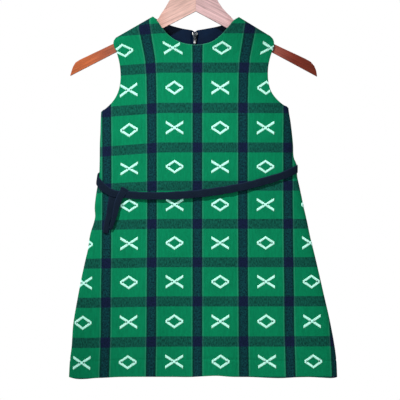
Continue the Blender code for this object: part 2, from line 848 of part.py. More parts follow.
def add_wire(name, route, radius, material, guides, collection):
    """A round wire along points of the front view."""
    curve = bpy.data.curves.new(name, "CURVE")
    curve.dimensions = "3D"
    curve.bevel_depth = radius * MM
    curve.bevel_resolution = 2
    curve.use_fill_caps = True
    spline = curve.splines.new("POLY")
    spline.points.add(len(route) - 1)
    for point, place in zip(spline.points, route):
        point.co = (place[0] * MM, 0.0, place[1] * MM, 1.0)
    guide = bpy.data.objects.new(name + "_line", curve)
    guides.objects.link(guide)
    mesh = curve_to_mesh(name, guide)
    return add_object(name, mesh, material, collection, 50.0)


def moved_outline(outline, centre):
    """An outline given from a centre, put at it."""
    return [(centre.x + point.x, centre.z + point.z) for point in outline]


def add_zip_slider(axis_y, material, guides, collection):
    """The slider: a forked body and the small bail that carries the pull."""
    body_y = axis_y + PULL_STANDOFF + SLIDER_THICK / 2
    mesh = flat_shape("zip_slider", [moved_outline(SLIDER_OUTLINE, PULL_AXIS)], SLIDER_THICK, guides)
    mesh.transform(Matrix.Translation((0, body_y * MM, 0)))
    body = add_object("zip_slider", mesh, material, collection)
    bail = bpy.data.curves.new("bail", "CURVE")
    bail.dimensions = "3D"
    bail.bevel_depth = BAIL_WIRE * MM
    bail.bevel_resolution = 2
    bail.use_fill_caps = True
    sink = PULL_STANDOFF + 0.8
    turns = [(BAIL_RADIUS * cos(radians(a)), BAIL_RADIUS * sin(radians(a))) for a in range(90, 271, 20)]
    route = [(sink, BAIL_RADIUS)] + turns + [(sink, -BAIL_RADIUS)]
    spline = bail.splines.new("POLY")
    spline.points.add(len(route) - 1)
    for point, (forward, up) in zip(spline.points, route):
        point.co = (0.0, forward * MM, up * MM, 1.0)
    guide = bpy.data.objects.new("bail_line", bail)
    guide.matrix_world = Matrix.Translation((PULL_AXIS.x * MM, axis_y * MM, PULL_AXIS.z * MM))
    guides.objects.link(guide)
    loop = bpy.data.objects.new("bail", curve_to_mesh("bail", guide))
    loop.hide_render = True
    loop.display_type = "WIRE"
    guides.objects.link(loop)
    union = body.modifiers.new("bail", "BOOLEAN")
    union.operation = "UNION"
    union.solver = "EXACT"
    union.object = loop
    return body


def add_zip_pull(axis_y, material, guides, collection):
    """The pull, a flat drop with an eye round the bail. Its origin is on its axis."""
    mesh = flat_shape("zip_pull", [PULL_OUTLINE, PULL_EYE], PULL_THICK, guides)
    pull = add_object("zip_pull", mesh, material, collection)
    pull.location = (PULL_AXIS.x * MM, axis_y * MM, PULL_AXIS.z * MM)
    return pull


def pull_axis_y():
    """Where the pull's axis stands: inside the lining, clear of the tape and the slider."""
    inside = float(stand_out(np.array(PULL_AXIS.x), np.array(PULL_AXIS.z), "back"))
    slider_back = inside - CLOTH - GAP - LINING - GAP
    return slider_back - SLIDER_THICK - PULL_STANDOFF


def main():
    clear_scene()
    dress = new_collection("dress_on_hanger")
    guides = new_collection("guides")
    green = principled("wool_check", COLOURS["green"], 0.9)
    navy = principled("navy_lining", COLOURS["navy"], 0.55)
    belt = principled("belt_wool", COLOURS["navy"], 0.85)
    steel = principled("steel", COLOURS["steel"], 0.3, 1.0)
    left_wood = principled("wood_left", COLOURS["board_left"], 0.4)
    right_wood = principled("wood_right", COLOURS["board_right"], 0.4)
    add_panels(green, navy, dress)
    add_belt(belt, dress)
    add_hanger(left_wood, right_wood, steel, guides, dress)
    axis_y = pull_axis_y()
    add_zip_slider(axis_y, steel, guides, dress)
    add_zip_pull(axis_y, steel, guides, dress)


main()
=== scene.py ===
# %% [markdown]
# # A sleeveless check dress with a tie belt, on a wooden hanger
# The dress is cut from one woven wool check: a front, two backs with a zip between them, and a dark
# lining. It hangs on two flat boards mitred at the middle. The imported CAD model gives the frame, and
# every piece made here lies where its solid does, only finer. Lengths are written in millimetres and
# turned to metres as each mesh is made.

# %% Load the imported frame
from collections import namedtuple
from math import cos, pi, radians, sin

import bmesh
import bpy
import numpy as np
from mathutils import Matrix, Vector


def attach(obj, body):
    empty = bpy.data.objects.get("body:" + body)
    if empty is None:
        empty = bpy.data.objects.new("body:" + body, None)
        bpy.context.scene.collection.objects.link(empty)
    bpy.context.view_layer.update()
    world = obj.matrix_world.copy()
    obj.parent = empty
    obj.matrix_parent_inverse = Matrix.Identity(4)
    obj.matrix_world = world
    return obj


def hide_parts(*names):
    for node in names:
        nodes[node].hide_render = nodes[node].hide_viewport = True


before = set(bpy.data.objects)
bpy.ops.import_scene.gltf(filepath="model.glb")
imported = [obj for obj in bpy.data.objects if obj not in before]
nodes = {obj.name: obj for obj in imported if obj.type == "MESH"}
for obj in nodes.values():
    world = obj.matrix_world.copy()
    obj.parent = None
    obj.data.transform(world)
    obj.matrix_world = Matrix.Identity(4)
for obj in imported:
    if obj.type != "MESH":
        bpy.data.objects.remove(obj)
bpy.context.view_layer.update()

MM = 0.001
ROOT = "dress_and_hanger"
TAB = "zip_pull_tab"

# %% [markdown]
# ## Small helpers
# Colours are picked as sRGB hex codes, as a paint chart gives them, but shaders reckon in linear light,
# so one function turns them. Another adds a node with its settings and its links, so that a material or
# a geometry tree reads as a list of steps. Values that are the same all over a surface are set on the
# shader's own sockets.

# %% Colour, node and scene helpers
def paint(code):
    """Linear colour from an sRGB hex code."""
    parts = [int(code[k : k + 2], 16) / 255 for k in (1, 3, 5)]
    linear = [p / 12.92 if p <= 0.04045 else ((p + 0.055) / 1.055) ** 2.4 for p in parts]
    return (*linear, 1.0)


def add_node(tree, kind, inputs=None, **settings):
    """A node with its settings. Each input is a value, an output socket, or a node for its first output."""
    node = tree.nodes.new(kind)
    for name, value in settings.items():
        setattr(node, name, value)
    for key, value in (inputs or {}).items():
        if isinstance(value, bpy.types.Node):
            value = value.outputs[0]
        if isinstance(value, bpy.types.NodeSocket):
            tree.links.new(value, node.inputs[key])
        else:
            node.inputs[key].default_value = value
    return node


def new_material(name, values):
    """A Principled material with these values on its sockets, and its tree and shader."""
    material = bpy.data.materials.new(name)
    material.use_nodes = True
    shader = material.node_tree.nodes["Principled BSDF"]
    for socket, value in values.items():
        shader.inputs[socket].default_value = value
    return material, material.node_tree, shader


def put_in_scene(name, data):
    """An object of this mesh, curve, lamp or camera, linked to the scene."""
    made = bpy.data.objects.new(name, data)
    bpy.context.scene.collection.objects.link(made)
    return made


print("middle grey #808080 in linear light", round(paint("#808080")[0], 3))

# %% [markdown]
# ## The view
# The photograph looks straight at the front from far off: the hanger's two ends and the hem show no
# perspective. A long lens six metres away gives that. The frame is 400 pixels of 1.741 mm, which is
# 696 mm wide, and its top edge cuts through the hanger's head.

# %% Camera
PIXEL = 1.741
FRAME = 400 * PIXEL
DISTANCE, SENSOR = 6000.0, 36.0
CENTRE_X, CENTRE_Z = 7.0, -447.6
camera = put_in_scene("camera", bpy.data.cameras.new("camera"))
camera.data.sensor_width = SENSOR
camera.data.lens = SENSOR * DISTANCE / FRAME
camera.location = (CENTRE_X * MM, -DISTANCE * MM, CENTRE_Z * MM)
camera.rotation_euler = (radians(90), 0, 0)
camera.data.clip_start = 0.1
camera.data.clip_end = 100.0
bpy.context.scene.camera = camera
bpy.context.scene.view_settings.view_transform = "Standard"
print("lens", round(camera.data.lens, 1), "mm")

# %% [markdown]
# ## Studio light and floor
# The main lamp stands above and to the left of the chest, and its edge is wide and soft, so the light
# falls off toward the hem as it does in the photograph. A spot lamp does this by its blend. A small lamp
# low on the left keeps the hem's corner from going dark, and a faint one in front lifts the chest.
# Large, weaker lamps reach the back and the sides. The world is white, and a pale floor lies well below
# the hem.

# %% Lamps
def set_up(lamp, place, aim):
    """Stand a lamp at a place and turn it toward a point. Both are in metres."""
    stand = put_in_scene(lamp.name, lamp)
    stand.location = place
    stand.rotation_mode = "QUATERNION"
    stand.rotation_quaternion = (Vector(aim) - Vector(place)).to_track_quat("-Z", "Y")
    return stand


# soft square lamps: name, place, the point they light, the square's side in metres, and watts
for name, place, aim, size, watts in (
        ("front_lamp", (-0.12, -0.62, -0.30), (-0.03, 0.0, -0.34), 0.3, 0.5),
        ("side_lamp", (1.9, -0.9, 0.3), (0.0, 0.0, -0.4), 1.2, 3.0),
        ("back_lamp", (0.6, 1.7, 0.5), (0.0, 0.0, -0.4), 0.8, 30.0),
        ("hem_lamp", (-0.85, -0.75, -0.95), (-0.2, 0.0, -0.7), 0.2, 0.9),
        ("low_lamp", (-1.8, 0.9, -0.2), (0.0, 0.0, -0.45), 1.0, 11.0)):
    lamp = bpy.data.lights.new(name, "AREA")
    lamp.shape = "SQUARE"
    lamp.size = size
    lamp.energy = watts
    set_up(lamp, place, aim).visible_camera = False

# the key lamp is a spot with a wide soft edge: brightest at the middle, weaker toward shoulders and hem
key = bpy.data.lights.new("key_lamp", "SPOT")
key.energy = 214.0
key.spot_size = radians(22.0)
key.spot_blend = 1.0
key.shadow_soft_size = 0.05
set_up(key, (-0.75, -1.15, 1.15), (0.05, 0.0, -0.53))

# %% World and floor
world = bpy.data.worlds.new("studio")
bpy.context.scene.world = world
world.use_nodes = True
sky = world.node_tree
sky.nodes.clear()
rays = add_node(sky, "ShaderNodeLightPath")
ambient = add_node(sky, "ShaderNodeBackground", {"Color": paint("#FFFFFF"), "Strength": 0.10})
seen = add_node(sky, "ShaderNodeBackground", {"Color": paint("#FFFFFF"), "Strength": 1.0})
both = add_node(sky, "ShaderNodeMixShader", {0: rays.outputs["Is Camera Ray"], 1: ambient, 2: seen})
add_node(sky, "ShaderNodeOutputWorld", {"Surface": both})

# in metres
FLOOR_LEVEL, FLOOR_RADIUS = -1.0, 2.4
floor_mesh = bpy.data.meshes.new("floor")
work = bmesh.new()
bmesh.ops.create_circle(work, cap_ends=True, segments=96, radius=FLOOR_RADIUS)
work.to_mesh(floor_mesh)
work.free()
floor_mesh.transform(Matrix.Translation((0, 0.2, FLOOR_LEVEL)))
floor = put_in_scene("floor", floor_mesh)
paper, paper_tree, paper_shader = new_material("matt_paper_floor", {
    "Roughness": 0.9, "Base Color": paint("#F7F7F5"), "Emission Color": paint("#FFFFFF")})
# lit a little from below, as a light table is, so that it stays pale under the soft lamps
floor_rays = add_node(paper_tree, "ShaderNodeLightPath")
glow = add_node(paper_tree, "ShaderNodeMapRange", {
    "Value": floor_rays.outputs["Is Camera Ray"], "To Min": 0.18, "To Max": 0.62})
paper_tree.links.new(glow.outputs[0], paper_shader.inputs["Emission Strength"])
floor_mesh.materials.append(paper)

# %% [markdown]
# ## The dress's measurements
# These are the CAD model's own tables: where the side seams stand at each height, how far the cloth
# stands out to the front and the back, and the outlines of the cut edges on the front view. The finer
# cloth is drawn from the same numbers, so it can't drift from its solid. Two tables are the cloth's
# own: the waves, of 1 to 4 mm, that keep the side seams and the hem of a real dress from being ruled
# lines.

# %% Tables of the dress
# the gap between pieces, and how thick the cloth and the lining are
GAP, CLOTH, LINING = 0.3, 2.0, 1.0
HEM_HEIGHT = -756.0
# the share of the rise where the armholes start, and how square the dress's section is: 2 is round
UNDERARM_ROW, LOFT = 0.767, 2.5
# the centre back, half the width of the zip's slit, and how far the neck's edge dips at it
BACK_CENTRE, SLIT_HALF, NOTCH_DROP = -2.1, 4.45, 3.0
# the zip's length, how far the lining goes below the neck, and a panel's rise in round numbers
ZIP_LENGTH, LINING_DEPTH, PANEL_RISE = 300.0, 78.0, 600.0
# between these heights the rounded sides give way to the flat edges of the armholes
ARM_BLEND_LOW, ARM_BLEND_HIGH = -300.0, -215.0
# the hem's waves: height, how many there are across, and where they start and are full
WAVE_HEIGHT, WAVE_COUNT, WAVE_TOP, WAVE_FULL = 2.6, 3.5, -490.0, -740.0
# height, left seam, right seam
SIDES = np.array([
    (-757, -221.3, 246.0), (-719, -219.8, 243.0), (-663, -214.0, 233.5), (-608, -203.5, 221.0),
    (-552, -191.0, 208.0), (-496, -181.5, 194.5), (-441, -175.0, 181.5), (-385, -169.8, 171.0),
    (-330, -168.0, 165.6), (-285, -164.5, 160.8)])
# small waves of the side seams that the CAD model leaves to the cloth: height, left seam, right seam
SEAM_WAVES = np.array([
    (-757, 0.0, 0.0), (-727, 0.7, 0.7), (-706, 2.0, 0.7), (-664, 0.4, 0.7), (-640, 0.0, 0.7),
    (-600, -0.8, 0.7), (-575, -1.6, 0.8), (-552, -1.5, 0.8), (-530, -0.5, 0.7), (-513, -1.2, 0.6),
    (-500, 0.0, 1.0), (-490, 2.0, 1.4), (-477, 3.4, 1.7), (-462, 0.9, 1.8), (-442, 0.6, 2.2),
    (-421, 1.8, 2.1), (-407, 2.8, 1.8), (-395, 2.4, 3.2), (-386, 2.0, 4.2), (-376, 1.7, 1.2),
    (-351, 1.3, 1.6), (-330, 1.5, 1.4), (-310, 0.6, 1.0), (-294, 0.0, 0.0), (-285, 0.0, 0.0)])
# and of the hem: place across the front, how far it hangs below its straight line
HEM_WAVES = np.array([
    (-222, 0.0), (-208, 2.8), (-190, 2.6), (-177, 1.3), (-157, 0.3), (-136, -0.9), (-110, -1.4),
    (-42, -1.3), (-8, -1.2), (12, -2.4), (36, -3.4), (60, -1.6), (94, -1.0), (126, 0.4), (142, 0.9),
    (178, -0.6), (198, -0.7), (220, 0.5), (238, 1.3), (247, 0.0)])
# height, front depth, back depth
DEPTHS = np.array([
    (-757, 23.5, 21.5), (-663, 21.5, 20.0), (-552, 19.0, 18.0), (-441, 17.5, 16.5), (-330, 16.5, 16.0),
    (-285, 14.5, 15.0), (-240, 12.0, 13.5), (-190, 9.6, 11.6), (-150, 8.8, 10.4), (-128, 8.6, 10.0)])
ARMHOLE_LEFT = np.array([
    (-165.4, -294.4), (-154.9, -286.5), (-143.0, -274.0), (-135.3, -259.6), (-131.6, -243.0),
    (-131.2, -226.0), (-134.0, -205.0), (-138.5, -190.0), (-143.0, -179.0), (-143.6, -171.5),
    (-140.0, -165.2)])
ARMHOLE_RIGHT = np.array([
    (161.0, -287.4), (150.0, -280.5), (140.5, -272.0), (132.0, -261.0), (126.8, -247.0),
    (125.0, -231.0), (125.9, -214.0), (129.5, -198.0), (133.8, -184.5), (136.0, -175.5),
    (134.8, -168.5), (130.0, -162.5)])
NECK_LEFT, NECK_RIGHT = (-74.9, -127.8), (74.6, -128.8)
FRONT_NECK = np.array([
    NECK_LEFT, (-69.5, -133.0), (-59.0, -147.8), (-45.6, -162.2), (-32.4, -170.6), (-15.7, -176.0),
    (4.2, -177.2), (27.7, -171.8), (44.2, -159.6), (56.0, -146.4), (67.0, -133.8), NECK_RIGHT])
BACK_NECK_LEFT = np.array([
    NECK_LEFT, (-66.0, -133.5), (-42.3, -143.8), (-24.0, -148.6), (BACK_CENTRE - SLIT_HALF, -151.6)])
BACK_NECK_RIGHT = np.array([
    NECK_RIGHT, (64.0, -134.5), (41.8, -144.0), (20.0, -148.6), (BACK_CENTRE + SLIT_HALF, -151.6)])

# %% Curves through tables
def blend(low, high, value):
    """0 at low, 1 at high, easing in and out."""
    f = np.clip((value - low) / (high - low), 0.0, 1.0)
    return f * f * (3.0 - 2.0 * f)


def through(knots, values, at):
    """A smooth curve through values at rising knots, read at the given places."""
    slopes = np.gradient(values, knots)
    k = np.clip(np.searchsorted(knots, at) - 1, 0, len(knots) - 2)
    width = knots[k + 1] - knots[k]
    f = np.clip((at - knots[k]) / width, 0.0, 1.0)
    start = (1 + 2 * f) * (1 - f) ** 2 * values[k] + f * (1 - f) ** 2 * width * slopes[k]
    end = f * f * (3 - 2 * f) * values[k + 1] + f * f * (f - 1) * width * slopes[k + 1]
    return start + end


def smooth_line(points, shares):
    """Points of any width on a smooth curve through the given ones, at shares of its length."""
    corners = np.array(points, float)
    run = np.r_[0.0, np.cumsum(np.linalg.norm(np.diff(corners[:, :2], axis=0), axis=1))]
    fine = np.linspace(0.0, run[-1], 40 * len(corners))
    curve = np.column_stack([through(run, corners[:, k], fine) for k in range(corners.shape[1])])
    length = np.r_[0.0, np.cumsum(np.linalg.norm(np.diff(curve[:, :2], axis=0), axis=1))]
    at = np.asarray(shares) * length[-1]
    return np.column_stack([np.interp(at, length, curve[:, k]) for k in range(corners.shape[1])])


# %% [markdown]
# ## Folds placed one by one
# Nothing pulls hard on this cloth, so it has few folds: shallow troughs that run from the belt and the
# hips to the hem, drag lines below the armholes, and a long soft one under the belt. Each is a line on
# the front view with a width and a depth, uneven on purpose. A cloth simulation would need many tries to
# land them where this dress has them, and these lines do it at once. The back, which nobody
# photographed, gets its own similar set.

# %% Table of folds and the cloth's surface
Fold = namedtuple("Fold", "x1 z1 x2 z2 width depth")
FRONT_FOLDS = [
    Fold(92, -560, 10, -668, 17, -1.7), Fold(168, -600, 158, -722, 16, -2.2),
    Fold(-150, -620, -166, -706, 15, -1.8), Fold(-62, -500, -78, -745, 24, 1.6),
    Fold(58, -585, 88, -750, 22, 1.7), Fold(-108, -500, -128, -748, 17, -1.5),
    Fold(16, -640, 22, -752, 20, -1.2), Fold(126, -470, 138, -590, 17, -1.2),
    Fold(-150, -300, -96, -352, 9, -0.9), Fold(146, -296, 98, -348, 9, -0.9),
    Fold(-140, -345, -118, -415, 11, -1.1), Fold(-30, -205, -18, -318, 26, 0.9),
    Fold(-116, -196, -84, -286, 14, -0.6), Fold(112, -200, 88, -290, 15, -0.6),
    Fold(-165, -445, 175, -405, 7, -0.7), Fold(40, -330, 96, -398, 20, 0.8),
]
BACK_FOLDS = [
    Fold(-96, -545, -30, -690, 19, -1.8), Fold(70, -500, 92, -742, 22, 1.6),
    Fold(118, -560, 142, -735, 17, -2.0), Fold(-140, -520, -158, -720, 20, 1.5),
    Fold(28, -560, 34, -750, 18, -1.4), Fold(-60, -620, -74, -750, 16, 1.2),
    Fold(150, -305, 92, -362, 10, -1.0), Fold(-150, -308, -90, -366, 10, -1.0),
    Fold(-168, -405, 170, -390, 7, -0.7), Fold(60, -215, 44, -330, 24, 0.8),
]


def creases(x, z, face):
    """How far the folds lift or sink the cloth."""
    total = np.zeros(np.broadcast(x, z).shape)
    for fold in FRONT_FOLDS if face == "front" else BACK_FOLDS:
        along = np.array([fold.x2 - fold.x1, fold.z2 - fold.z1], float)
        length = np.hypot(*along)
        run = ((x - fold.x1) * along[0] + (z - fold.z1) * along[1]) / length**2
        off = ((x - fold.x1) * along[1] - (z - fold.z1) * along[0]) / length
        ends = blend(-0.12, 0.3, run) * blend(1.12, 0.7, run)
        total = total + fold.depth * ends * np.exp(-((off / fold.width) ** 2))
    return total


def side_seam(column, z):
    """Where a side seam stands across the front: column 1 is the left one, 2 the right one."""
    return (through(SIDES[:, 0], SIDES[:, column], z)
            + through(SEAM_WAVES[:, 0], SEAM_WAVES[:, column], z))


def section_shares(z):
    """The middle and the half width of the dress at each height."""
    left, right = side_seam(1, z), side_seam(2, z)
    return (left + right) / 2, (right - left) / 2


def shoulder_drop(x, z):
    """How far a point lies below the shoulder line on its side."""
    drops = []
    for neck, tip in ((NECK_LEFT, ARMHOLE_LEFT[-1]), (NECK_RIGHT, ARMHOLE_RIGHT[-1])):
        slope = (neck[1] - tip[1]) / (neck[0] - tip[0])
        drops.append((tip[1] + slope * (x - tip[0]) - z) / np.hypot(1.0, slope))
    return np.maximum(np.where(x < 0.0, *drops), 0.0)


def stand_out(x, z, face):
    """How far the outside of the cloth stands from the plane of the side seams."""
    middle, half = section_shares(z)
    across = np.clip(np.abs(x - middle) / half, 0.0, 1.0)
    rounded = (1.0 - across**LOFT) ** (1.0 / LOFT)
    side = rounded ** (1.0 - blend(ARM_BLEND_LOW, ARM_BLEND_HIGH, z))
    depth = through(DEPTHS[:, 0], DEPTHS[:, 1 if face == "front" else 2], z)
    turn = np.clip(shoulder_drop(x, z) / depth, 0.0, 1.0)
    over = np.sqrt(1.0 - (1.0 - turn) ** 2)
    phase = 0.4 if face == "front" else 2.1
    wave = np.sin(2 * pi * WAVE_COUNT * (x - middle) / (2 * half) + phase)
    soft = WAVE_HEIGHT * blend(WAVE_TOP, WAVE_FULL, z) * (1.0 - across**2)
    return depth * side * over + soft * wave + creases(x, z, face) * (1.0 - across**4)


# %% [markdown]
# ## Grids of cloth
# A panel is a grid of points between its four edges: the hem, the two sides with their armholes, and
# the top with the shoulders and the neck. A grid keeps rows and columns as even as threads, and any edge
# can be given more of them. Rows crowd at the top, where the cloth rolls over the shoulder, at the fold
# of the hem, and 30 mm above it, where the hem's stitches draw a faint line.

# %% Rows, columns and edges of a panel
COLUMNS, SHOULDER_COLUMNS = 120, 32
HEM_TURN = 30.0


def row_shares():
    """Shares of the panel's rise, from the hem up."""
    low = [0.0, 0.25, 0.6, 1.1, 3.0, 7.0, 12.0, 17.0, 22.0, 26.0, 28.4, 29.4, 30.4, 31.6, 34.0, 38.0]
    top = [0.0, 0.25, 0.6, 1.1, 1.9, 2.9, 4.2, 5.8, 7.8, 10.2, 13.2]
    low = np.array(low) / PANEL_RISE
    top = 1.0 - np.array(top)[::-1] / PANEL_RISE
    skirt = np.linspace(low[-1], UNDERARM_ROW, 102)[1:]
    chest = np.linspace(UNDERARM_ROW, top[0], 34)[1:-1]
    return np.concatenate([low, skirt, chest, top])


def column_shares(count):
    """Shares of the panel's width, crowded at the side seams."""
    even = np.linspace(-1.0, 1.0, count + 1)
    return 0.5 + 0.5 * (0.15 * even + 0.85 * np.sin(even * pi / 2))


def side_edge(column, armhole, rows):
    """The side seam, then the armhole, as one point for each row."""
    rise = armhole[0][1] - HEM_HEIGHT
    z = HEM_HEIGHT + rise * np.minimum(rows / UNDERARM_ROW, 1.0)
    seam = np.column_stack([side_seam(column, z), z])
    upper = rows > UNDERARM_ROW
    seam[upper] = smooth_line(armhole, (rows[upper] - UNDERARM_ROW) / (1 - UNDERARM_ROW))
    return seam


def straight(start, end, shares):
    """Points between two ends at the given shares."""
    start, end = np.array(start, float), np.array(end, float)
    return start + np.asarray(shares)[:, None] * (end - start)


def hem_height(x):
    """The height of the hem at a place across the front."""
    return HEM_HEIGHT - through(HEM_WAVES[:, 0], HEM_WAVES[:, 1], x)


def hem_edge(start, end, shares):
    """The hem between two ends, with its own small waves."""
    line = straight(start, end, shares)
    line[:, 1] = hem_height(line[:, 0])
    return line


def patch(bottom, top, left, right, s, t):
    """A grid of flat points between four edges."""
    s, t = s[None, :, None], t[:, None, None]
    corners = (1 - s) * (1 - t) * bottom[0] + s * (1 - t) * bottom[-1]
    corners = corners + (1 - s) * t * top[0] + s * t * top[-1]
    sides = (1 - s) * left[:, None] + s * right[:, None]
    return sides + (1 - t) * bottom[None] + t * top[None] - corners


def rest_of(shares, first, last):
    """Part of a run of shares, stretched to run from 0 to 1."""
    piece = shares[first : last + 1]
    return (piece - piece[0]) / (piece[-1] - piece[0])


# %% Grids of the front and the backs
def front_flat():
    """The front panel's grid on the front view."""
    rows, s = row_shares(), column_shares(COLUMNS)
    left, right = side_edge(1, ARMHOLE_LEFT, rows), side_edge(2, ARMHOLE_RIGHT, rows)
    last = COLUMNS - SHOULDER_COLUMNS
    steps = np.linspace(0.0, 1.0, last - SHOULDER_COLUMNS + 1)
    neck = smooth_line(FRONT_NECK, 0.5 - 0.5 * np.cos(pi * steps))
    first = straight(ARMHOLE_LEFT[-1], NECK_LEFT, rest_of(s, 0, SHOULDER_COLUMNS))
    end = straight(NECK_RIGHT, ARMHOLE_RIGHT[-1], rest_of(s, last, COLUMNS))
    top = np.vstack([first[:-1], neck, end[1:]])
    return patch(hem_edge(left[0], right[0], s), top, left, right, s, rows)


def back_flat(side_name):
    """One back panel's grid, from the side seam to the slit and on to the centre back."""
    outward = -1.0 if side_name == "left" else 1.0
    armhole = ARMHOLE_LEFT if side_name == "left" else ARMHOLE_RIGHT
    neck = BACK_NECK_LEFT if side_name == "left" else BACK_NECK_RIGHT
    rows = row_shares()
    s = 2 * column_shares(COLUMNS)[: COLUMNS // 2 + 1]
    side = side_edge(1 if side_name == "left" else 2, armhole, rows)
    steps = np.linspace(0.0, 1.0, len(s) - SHOULDER_COLUMNS)
    curve = smooth_line(neck, 1.0 - np.cos(pi / 2 * steps))
    top = np.vstack([straight(armhole[-1], neck[0], rest_of(s, 0, SHOULDER_COLUMNS))[:-1], curve])
    foot = BACK_CENTRE + outward * SLIT_HALF
    slit = straight((foot, hem_height(foot)), neck[-1], rows)
    bottom = hem_edge(side[0], slit[0], s)
    slit[0] = bottom[-1]
    body = patch(bottom, top, side, slit, s, rows)
    edge = slit.copy()
    edge[:, 0] = BACK_CENTRE + outward * GAP / 6
    edge[:, 1] -= NOTCH_DROP * blend(0.97, 1.0, rows)
    steps = np.array([0.3, 0.55, 0.75, 0.88, 0.95, 1.0])[None, :, None]
    strip = body[:, -1:] * (1 - steps) + edge[:, None] * steps
    return np.concatenate([body, strip], axis=1)


def lift_off(flat, face):
    """Points in space for a flat grid, and their outward normals."""
    out = stand_out(flat[..., 0], flat[..., 1], face)
    y = -out if face == "front" else out
    points = np.stack([flat[..., 0], y, flat[..., 1]], axis=-1)
    normal = np.cross(np.gradient(points, axis=1), np.gradient(points, axis=0))
    normal /= np.linalg.norm(normal, axis=-1, keepdims=True)
    wanted = -1.0 if face == "front" else 1.0
    return points, normal * wanted * np.sign(np.mean(normal[..., 1]))


def close_seams(points, normals, seams):
    """Bring a panel's seam edges, and their normals, into the plane of the side seams."""
    for seam in seams:
        points[seam + (1,)] = 0.0
        chosen = normals[seam]
        chosen[..., 1] = 0.0
        normals[seam] = chosen / np.linalg.norm(chosen, axis=-1, keepdims=True)


seam_rows = row_shares() <= UNDERARM_ROW + 1e-9
last_column = COLUMNS - SHOULDER_COLUMNS
panels = {"front": lift_off(front_flat(), "front")}
close_seams(*panels["front"], [(seam_rows, 0), (seam_rows, -1), (-1, slice(0, SHOULDER_COLUMNS + 1)),
                               (-1, slice(last_column, None))])
for side_name in ("left", "right"):
    panels[side_name] = lift_off(back_flat(side_name), "back")
    close_seams(*panels[side_name], [(seam_rows, 0), (-1, slice(0, SHOULDER_COLUMNS + 1))])
for name, (points, normals) in panels.items():
    print(name, "grid", points.shape[:2], "widest", round(float(np.ptp(points[..., 0])), 1), "mm")

# %% [markdown]
# ## Where the check lies
# The check has dark stripes of warp, up and down, and of weft, across, one repeat every 79 by 68 mm.
# Each point of cloth gets its place counted in repeats, kept as a UV map, so stripes and motifs follow
# the cloth, and no image is needed. Up at the shoulders the warp stripes lean outward, because the neck
# opens the cloth there, and the weft stripes droop a little at the wearer's right side. A small table
# gives the first, and a few values the second.

# %% Counting repeats over the cloth
# height on the front view, in pixels of the photograph, and the warp stripes' spacing there
STRIPE_SPREAD = np.array([(8, 55.5), (20, 54.2), (28, 52.7), (45, 49.6), (58, 47.3), (75, 46.1),
                          (100, 45.6), (137, 45.4), (206, 45.3), (253, 45.5), (291, 45.8), (331, 46.0),
                          (385, 46.8)])
# heights of the weft stripes, in the same pixels, and their numbers
WEFT_HEIGHTS = np.array([-10.8, 28.5, 67.8, 108.2, 147.7, 185.8, 223.7, 262.0, 301.0, 341.0, 381.0])
WEFT_NUMBERS = np.arange(-1.0, len(WEFT_HEIGHTS) - 1.0)
# the middle warp stripe: its column and its number
STRIPE_CENTRE, STRIPE_NUMBER = 197.4, 2.0
# the column at x = 0, and the row at the height -75
ZERO_COLUMN, HEAD_HEIGHT, HEAD_ROW = 196.0, -75.0, -14.0
# the place that the cloth's length is counted from, across and up
COUNT_X, COUNT_Z = 2.0, -240.0
# the weft's droop at the wearer's right, in pixels: low down, how much more above, and between which rows
SAG, SAG_MORE, SAG_ROWS = 1.0, 2.3, (220.0, 150.0)
# the column where it starts, the run over which it grows once, and how many times it can
SAG_COLUMN, SAG_RUN, SAG_MOST = 160.0, 45.0, 1.6


def pixel_of(x, z):
    """The place on the front view, in pixels, of a point in millimetres."""
    return x / PIXEL + ZERO_COLUMN, (HEAD_HEIGHT - z) / PIXEL + HEAD_ROW


def repeats_at(px, py):
    """Repeats of the check across and down at a place on the front view."""
    spread = np.interp(py, STRIPE_SPREAD[:, 0], STRIPE_SPREAD[:, 1])
    return STRIPE_NUMBER + (px - STRIPE_CENTRE) / spread, -np.interp(py, WEFT_HEIGHTS, WEFT_NUMBERS)


def check_place(points):
    """Repeats of the check across and down, for a grid of cloth."""
    # where the cloth turns away at the sides, it is longer than it looks by the spare
    step = np.diff(points, axis=1)
    spare = np.hypot(step[..., 0], step[..., 1]) - np.abs(step[..., 0])
    spare = np.concatenate([np.zeros_like(spare[:, :1]), np.cumsum(spare, axis=1)], axis=1)
    middle = np.argmin(np.abs(points[..., 0] - COUNT_X), axis=1)
    spare = spare - np.take_along_axis(spare, middle[:, None], axis=1)
    towards = np.sign(points[..., 0] - COUNT_X)
    px, py = pixel_of(points[..., 0] + towards * np.abs(spare), points[..., 2])
    # and so it is where it turns over the shoulders
    rise = np.diff(points, axis=0)
    turned = np.cumsum(np.hypot(rise[..., 1], rise[..., 2]) - np.abs(rise[..., 2]), axis=0)
    turned = np.concatenate([np.zeros_like(turned[:1]), turned], axis=0)
    start = np.argmin(np.abs(points[:, 0, 2] - COUNT_Z))
    py = py - np.maximum(turned - turned[start], 0.0) / PIXEL
    sag = SAG + SAG_MORE * blend(*SAG_ROWS, py)
    py = py - sag * np.clip((SAG_COLUMN - px) / SAG_RUN, 0.0, SAG_MOST)
    return np.stack(repeats_at(px, py), axis=-1)


for name, (points, normals) in panels.items():
    place = check_place(points)
    print(name, "repeats across", round(float(np.ptp(place[..., 0])), 2), "down",
          round(float(np.ptp(place[..., 1])), 2))

# %% [markdown]
# ## From grid to cloth
# A panel of cloth is a closed thin wall. Its outer face is the wool, its inner face the lining, and
# the two close round the edge. A Solidify modifier could thicken a sheet, but not fold its edges or
# thicken the hem alone, so both faces are made here. At a cut edge both faces curve in, so the edge
# looks folded rather than sawn. At a seam they stay apart, because two panels meet there. The hem's
# turning makes the lowest 30 mm thicker inside. How far each point is from a seam is kept too, so the
# material can draw it.

